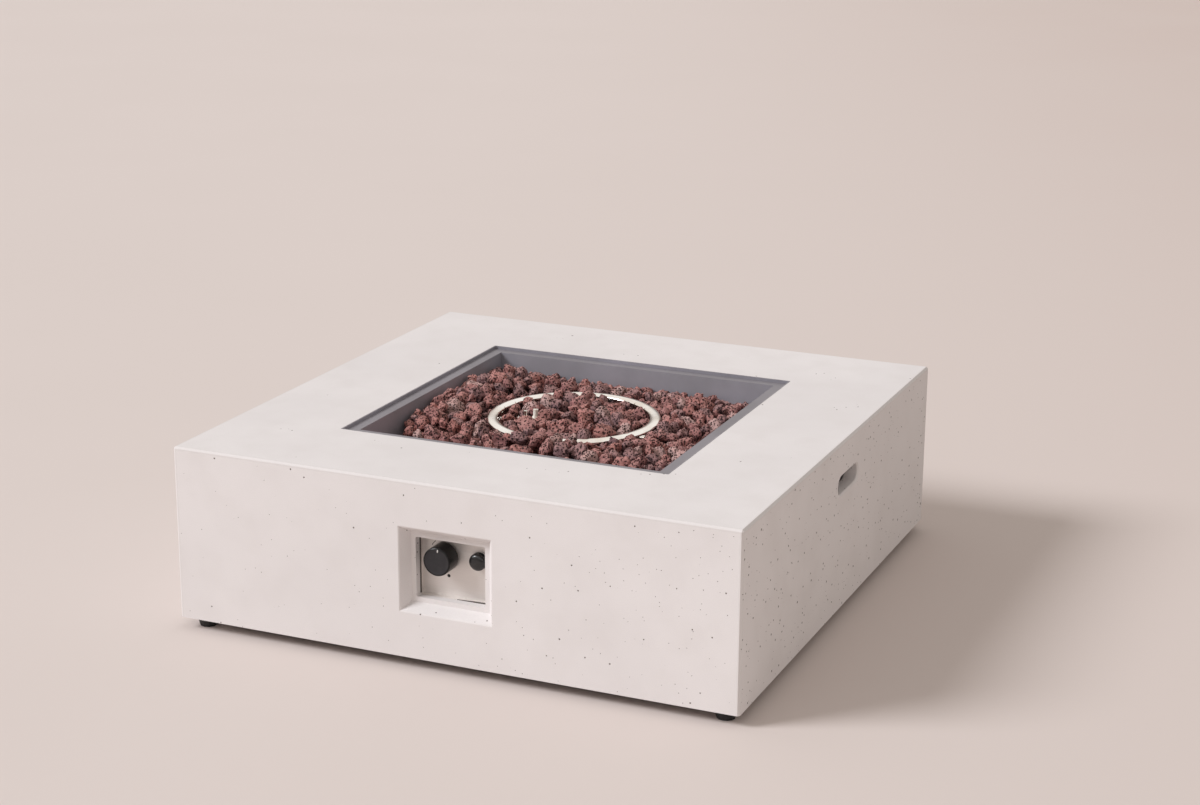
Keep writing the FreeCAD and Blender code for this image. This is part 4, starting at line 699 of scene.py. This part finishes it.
drawn.cover(gas_line)
brass.cover(nodes["flare_nuts"])
copper = Finish("copper_lead", Metallic=1.0)
copper.set("Base Color", copper.mixed(copper.cloud(80, 3), paint(184, 112, 78), paint(146, 86, 60)))
copper.set("Roughness", copper.cloud(160, 2) * 0.2 + 0.3)
copper.cover(probe_lead)
sleeve = Finish("wire_sleeve", Roughness=0.6)
sleeve.set("Base Color", sleeve.mixed(sleeve.cloud(120, 3), paint(120, 36, 30), paint(96, 28, 24)))
sleeve.set("Normal", sleeve.bump(sleeve.cloud(900, 2), 0.0001))
sleeve.cover(spark_wire)

# ---------------------------------------------------------------- lava rock
# Broken lumps of porous lava, red-brown to dark grey, poured loose on the pan's floor and heaped by hand
# inside and round the ring. Each lump is roughly cut by its breaks and pocked with gas holes of two sizes.

ROCK_SHAPES, BREAKS, NEAREST_BREAK, FARTHEST_BREAK = 24, 8, 0.50, 0.84
POUR_SEED, DROPS, TRIES, BURIED = 11, 2600, 14, 10
ROCK_SMALLEST, ROCK_USUAL, ROCK_LARGEST = 12, 18, 25
FLOOR_SHARE, TOUCH_SHARE, ROOM_SHARE, TOP_SHARE = 0.74, 0.80, 0.86, 0.8
PAN_FLOOR_Z, PAN_HALF_FLOOR, PAN_SLOPE, FLOOR_GAP, WALL_GAP = 226.3, 240, 7 / 57, 0.3, 0.5
BED_AT_WALLS, BED_RISE, BED_SHOULDER = 259, 13, 80
HEAPS = (
    (-15, -168, 42, 19), (60, -164, 48, 21), (-60, 95, 55, 9), (20, 0, 75, 11),
    (-62, -42, 26, 4), (150, -120, 60, 6), (-205, 200, 50, 12), (-214, -75, 55, 19),
    (-208, 20, 50, 22), (-208, 105, 55, 24), (-225, -225, 60, -18),
)
RING_OUT, RING_FLAT, RING_Z, RING_ROUND = 129, 5, 265.5, 4.5
TUBE_END, TUBE_Z, TUBE_ROUND = 120, 245, 7.5
HUB_REACH, HUB_TOP = 15.5, 254
POSTS = ((-129, 0, 6.5, 262), (129, 0, 6.5, 262), (-59.5, -14.5, 5.5, 277), (-77.5, -14.5, 3.5, 258))
BRACKET_X, BRACKET_Y, BRACKET_REACH, BRACKET_DEPTH, BRACKET_TOP = -68, -12, 18, 10, 246


def rock_shape(seed, detail):
    """One lump of about unit size: a ball cut by breaks, roughened, and sunk by gas holes of two sizes."""
    pick = random.Random(seed)
    offset = Vector([pick.uniform(-40, 40) for _ in range(3)])
    breaks = []
    for _ in range(BREAKS):
        way = Vector([pick.gauss(0, 1) for _ in range(3)]).normalized()
        breaks.append((way, pick.uniform(NEAREST_BREAK, FARTHEST_BREAK)))
    stretch = Vector((1.16, pick.uniform(0.82, 1.02), pick.uniform(0.66, 0.92)))
    ball = bmesh.new()
    bmesh.ops.create_icosphere(ball, subdivisions=detail, radius=1)
    for corner in ball.verts:
        way = corner.co.normalized()
        place = way.copy()
        for normal, reach in breaks:
            past = place.dot(normal) - reach
            if past > 0:
                place -= normal * past * 0.88
        swell = 0.19 * noise.noise(way * 1.4 + offset) + 0.11 * noise.noise(way * 3.1 + offset)
        swell += 0.06 * noise.noise(way * 8 + offset)
        large = noise.voronoi(way * 3.6 + offset)[0][0]
        small = noise.voronoi(way * 7.5 - offset)[0][0]
        swell -= 0.13 * max(0, 1 - large / 0.36) + 0.10 * max(0, 1 - small / 0.42)
        corner.co = (place + way * swell) * stretch
    ball.verts.index_update()
    points = np.array([corner.co for corner in ball.verts])
    faces = np.array([[corner.index for corner in face.verts] for face in ball.faces])
    ball.free()
    return points, faces


def bed_height(x, y):
    """How high the rock lies over a place on the pan. Each heap is a place, a reach and a rise, all in mm."""
    from_wall = PAN_HALF_FLOOR - max(abs(x), abs(y))
    inward = min(max(from_wall / BED_SHOULDER, 0), 1)
    height = BED_AT_WALLS + BED_RISE * inward * inward * (3 - 2 * inward)
    for heap_x, heap_y, reach, rise in HEAPS:
        height += rise * math.exp(-((x - heap_x) ** 2 + (y - heap_y) ** 2) / reach ** 2)
    return height


def resting_height(x, y, radius, lumps):
    """How high a lump comes to rest over a place, or None where a wall or a part of the burner is in its way.

    It rests on the pan, on other lumps, on the cross tube or on the hub. It stays clear of the ring, of the
    posts, each a place, a radius and a top, and of the pilot's bracket. All lengths are in mm.
    """
    z = PAN_FLOOR_Z + FLOOR_SHARE * radius
    if len(lumps):
        aside = np.hypot(lumps[:, 0] - x, lumps[:, 1] - y)
        touch = TOUCH_SHARE * (lumps[:, 3] + radius)
        under = aside < touch
        if under.any():
            z = max(z, float((lumps[under, 2] + np.sqrt(touch[under] ** 2 - aside[under] ** 2)).max()))
    room = ROOM_SHARE * radius
    if max(abs(x), abs(y)) > PAN_HALF_FLOOR + (z - PAN_FLOOR_Z) * PAN_SLOPE - room:
        return None
    out = math.hypot(x, y)
    if math.hypot(max(abs(out - RING_OUT) - RING_FLAT, 0), z - RING_Z) < RING_ROUND + room:
        return None
    if abs(x) < TUBE_END and math.hypot(y, z - TUBE_Z) < TUBE_ROUND + room:
        z = TUBE_Z + math.sqrt((TUBE_ROUND + room) ** 2 - y ** 2)
    if out < HUB_REACH + room and z < HUB_TOP + room:
        z = HUB_TOP + room
    for post_x, post_y, reach, top in POSTS:
        if math.hypot(x - post_x, y - post_y) < reach + room and z < top + room:
            return None
    beside = abs(x - BRACKET_X) < BRACKET_REACH + room and abs(y - BRACKET_Y) < BRACKET_DEPTH + room
    if beside and z < BRACKET_TOP + room:
        return None
    return z


def poured_lumps(pick):
    """Lumps dropped one by one where they rest lowest, small ones last: x, y, z and radius of each."""
    lumps = np.empty((0, 4))
    for drop in range(DROPS):
        radius = pick.triangular(ROCK_SMALLEST, ROCK_LARGEST, ROCK_USUAL)
        if drop > 0.6 * DROPS:
            radius = pick.uniform(ROCK_SMALLEST - 3, ROCK_SMALLEST + 2)
        best = None
        for _ in range(TRIES):
            x = pick.uniform(-PAN_HALF_FLOOR, PAN_HALF_FLOOR)
            y = pick.uniform(-PAN_HALF_FLOOR, PAN_HALF_FLOOR)
            z = resting_height(x, y, radius, lumps)
            if z is None or z + TOP_SHARE * radius > bed_height(x, y):
                continue
            if best is None or z < best[2]:
                best = (x, y, z)
        if best is not None:
            lumps = np.vstack([lumps, (*best, radius)])
    return lumps


def rock_bed():
    """The whole bed as one form. The smallest lumps, and those under others, are made of fewer faces."""
    pick = random.Random(POUR_SEED)
    fine = [rock_shape(seed, 4) for seed in range(ROCK_SHAPES)]
    plain = [rock_shape(seed, 3) for seed in range(ROCK_SHAPES)]
    points, faces, count = [], [], 0
    for x, y, z, radius in poured_lumps(pick):
        minor = z + radius < bed_height(x, y) - BURIED or radius < ROCK_SMALLEST - 1
        shape_points, shape_faces = pick.choice(plain if minor else fine)
        tumble = Euler([pick.uniform(0, math.tau) for _ in range(3)]).to_matrix()
        placed = shape_points @ np.array(tumble).T * radius + (x, y, z)
        placed[:, 2] = np.maximum(placed[:, 2], PAN_FLOOR_Z + FLOOR_GAP)
        wall = PAN_HALF_FLOOR - WALL_GAP + (placed[:, 2:] - PAN_FLOOR_Z) * PAN_SLOPE
        placed[:, :2] = np.clip(placed[:, :2], -wall, wall)
        points.append(placed / 1000)
        faces.append(shape_faces + count)
        count += len(placed)
    return np.concatenate(points), np.concatenate(faces)


bed_points, bed_faces = rock_bed()
bed = piece("lava_rock_bed", (bed_points.tolist(), bed_faces.tolist()), "table", "lava", 80)
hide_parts("lava_rocks")
lava = Finish("lava_rock", Roughness=0.95, Specular_IOR_Level=0.25)
surface = lava.node("ShaderNodeNewGeometry")
own = surface["Random Per Island"]
other = lava.node("ShaderNodeTexWhiteNoise", {"noise_dimensions": "1D"}, {"W": own})["Value"]
tone = lava.mixed(own.ramp(0.0, 0.7), paint(186, 124, 117), paint(162, 112, 110))
tone = lava.mixed((other > 0.66) * 0.85, tone, paint(130, 106, 110))
tone = lava.mixed((other > 0.93) * 0.8, tone, paint(216, 184, 178))
stain = lava.cloud(90, 3)
facing = lava.split(surface["Normal"])[2]
# Lumps are lighter on faces turned up: partly dust in a cloud, partly painted light on their tops.
dust_and_top_light = facing.ramp(0.0, 1.0) * 0.34 + stain.ramp(0.42, 0.75) * 0.34
tone = lava.mixed(dust_and_top_light, tone, paint(208, 160, 152))
# Faces turned down are darkened: painted shade under the lumps.
tone = lava.mixed(facing.ramp(0.25, -0.6) * 0.5, tone, paint(88, 58, 58))
pores = lava.node("ShaderNodeTexVoronoi", None, {"Vector": lava.place, "Scale": 300.0})["Distance"]
pocks = lava.node("ShaderNodeTexVoronoi", None, {"Vector": lava.place, "Scale": 150.0})["Distance"]
crumb = lava.cloud(700, 4, None, 0.65)
hollow = pores.ramp(0.42, 0.26).most(pocks.ramp(0.32, 0.2))
tone = lava.mixed(crumb.ramp(0.35, 0.7) * 0.35, tone, paint(98, 66, 66))
# The pores are coloured near black: painted shade inside holes that are only a bump.
tone = lava.mixed(hollow * 0.9, tone, paint(38, 24, 24))
lava.set("Base Color", tone)
relief = lava.bump(crumb, 0.0012, 0.8)
lava.set("Normal", lava.bump(1 - hollow, 0.002, 1.0, relief))
lava.cover(bed)
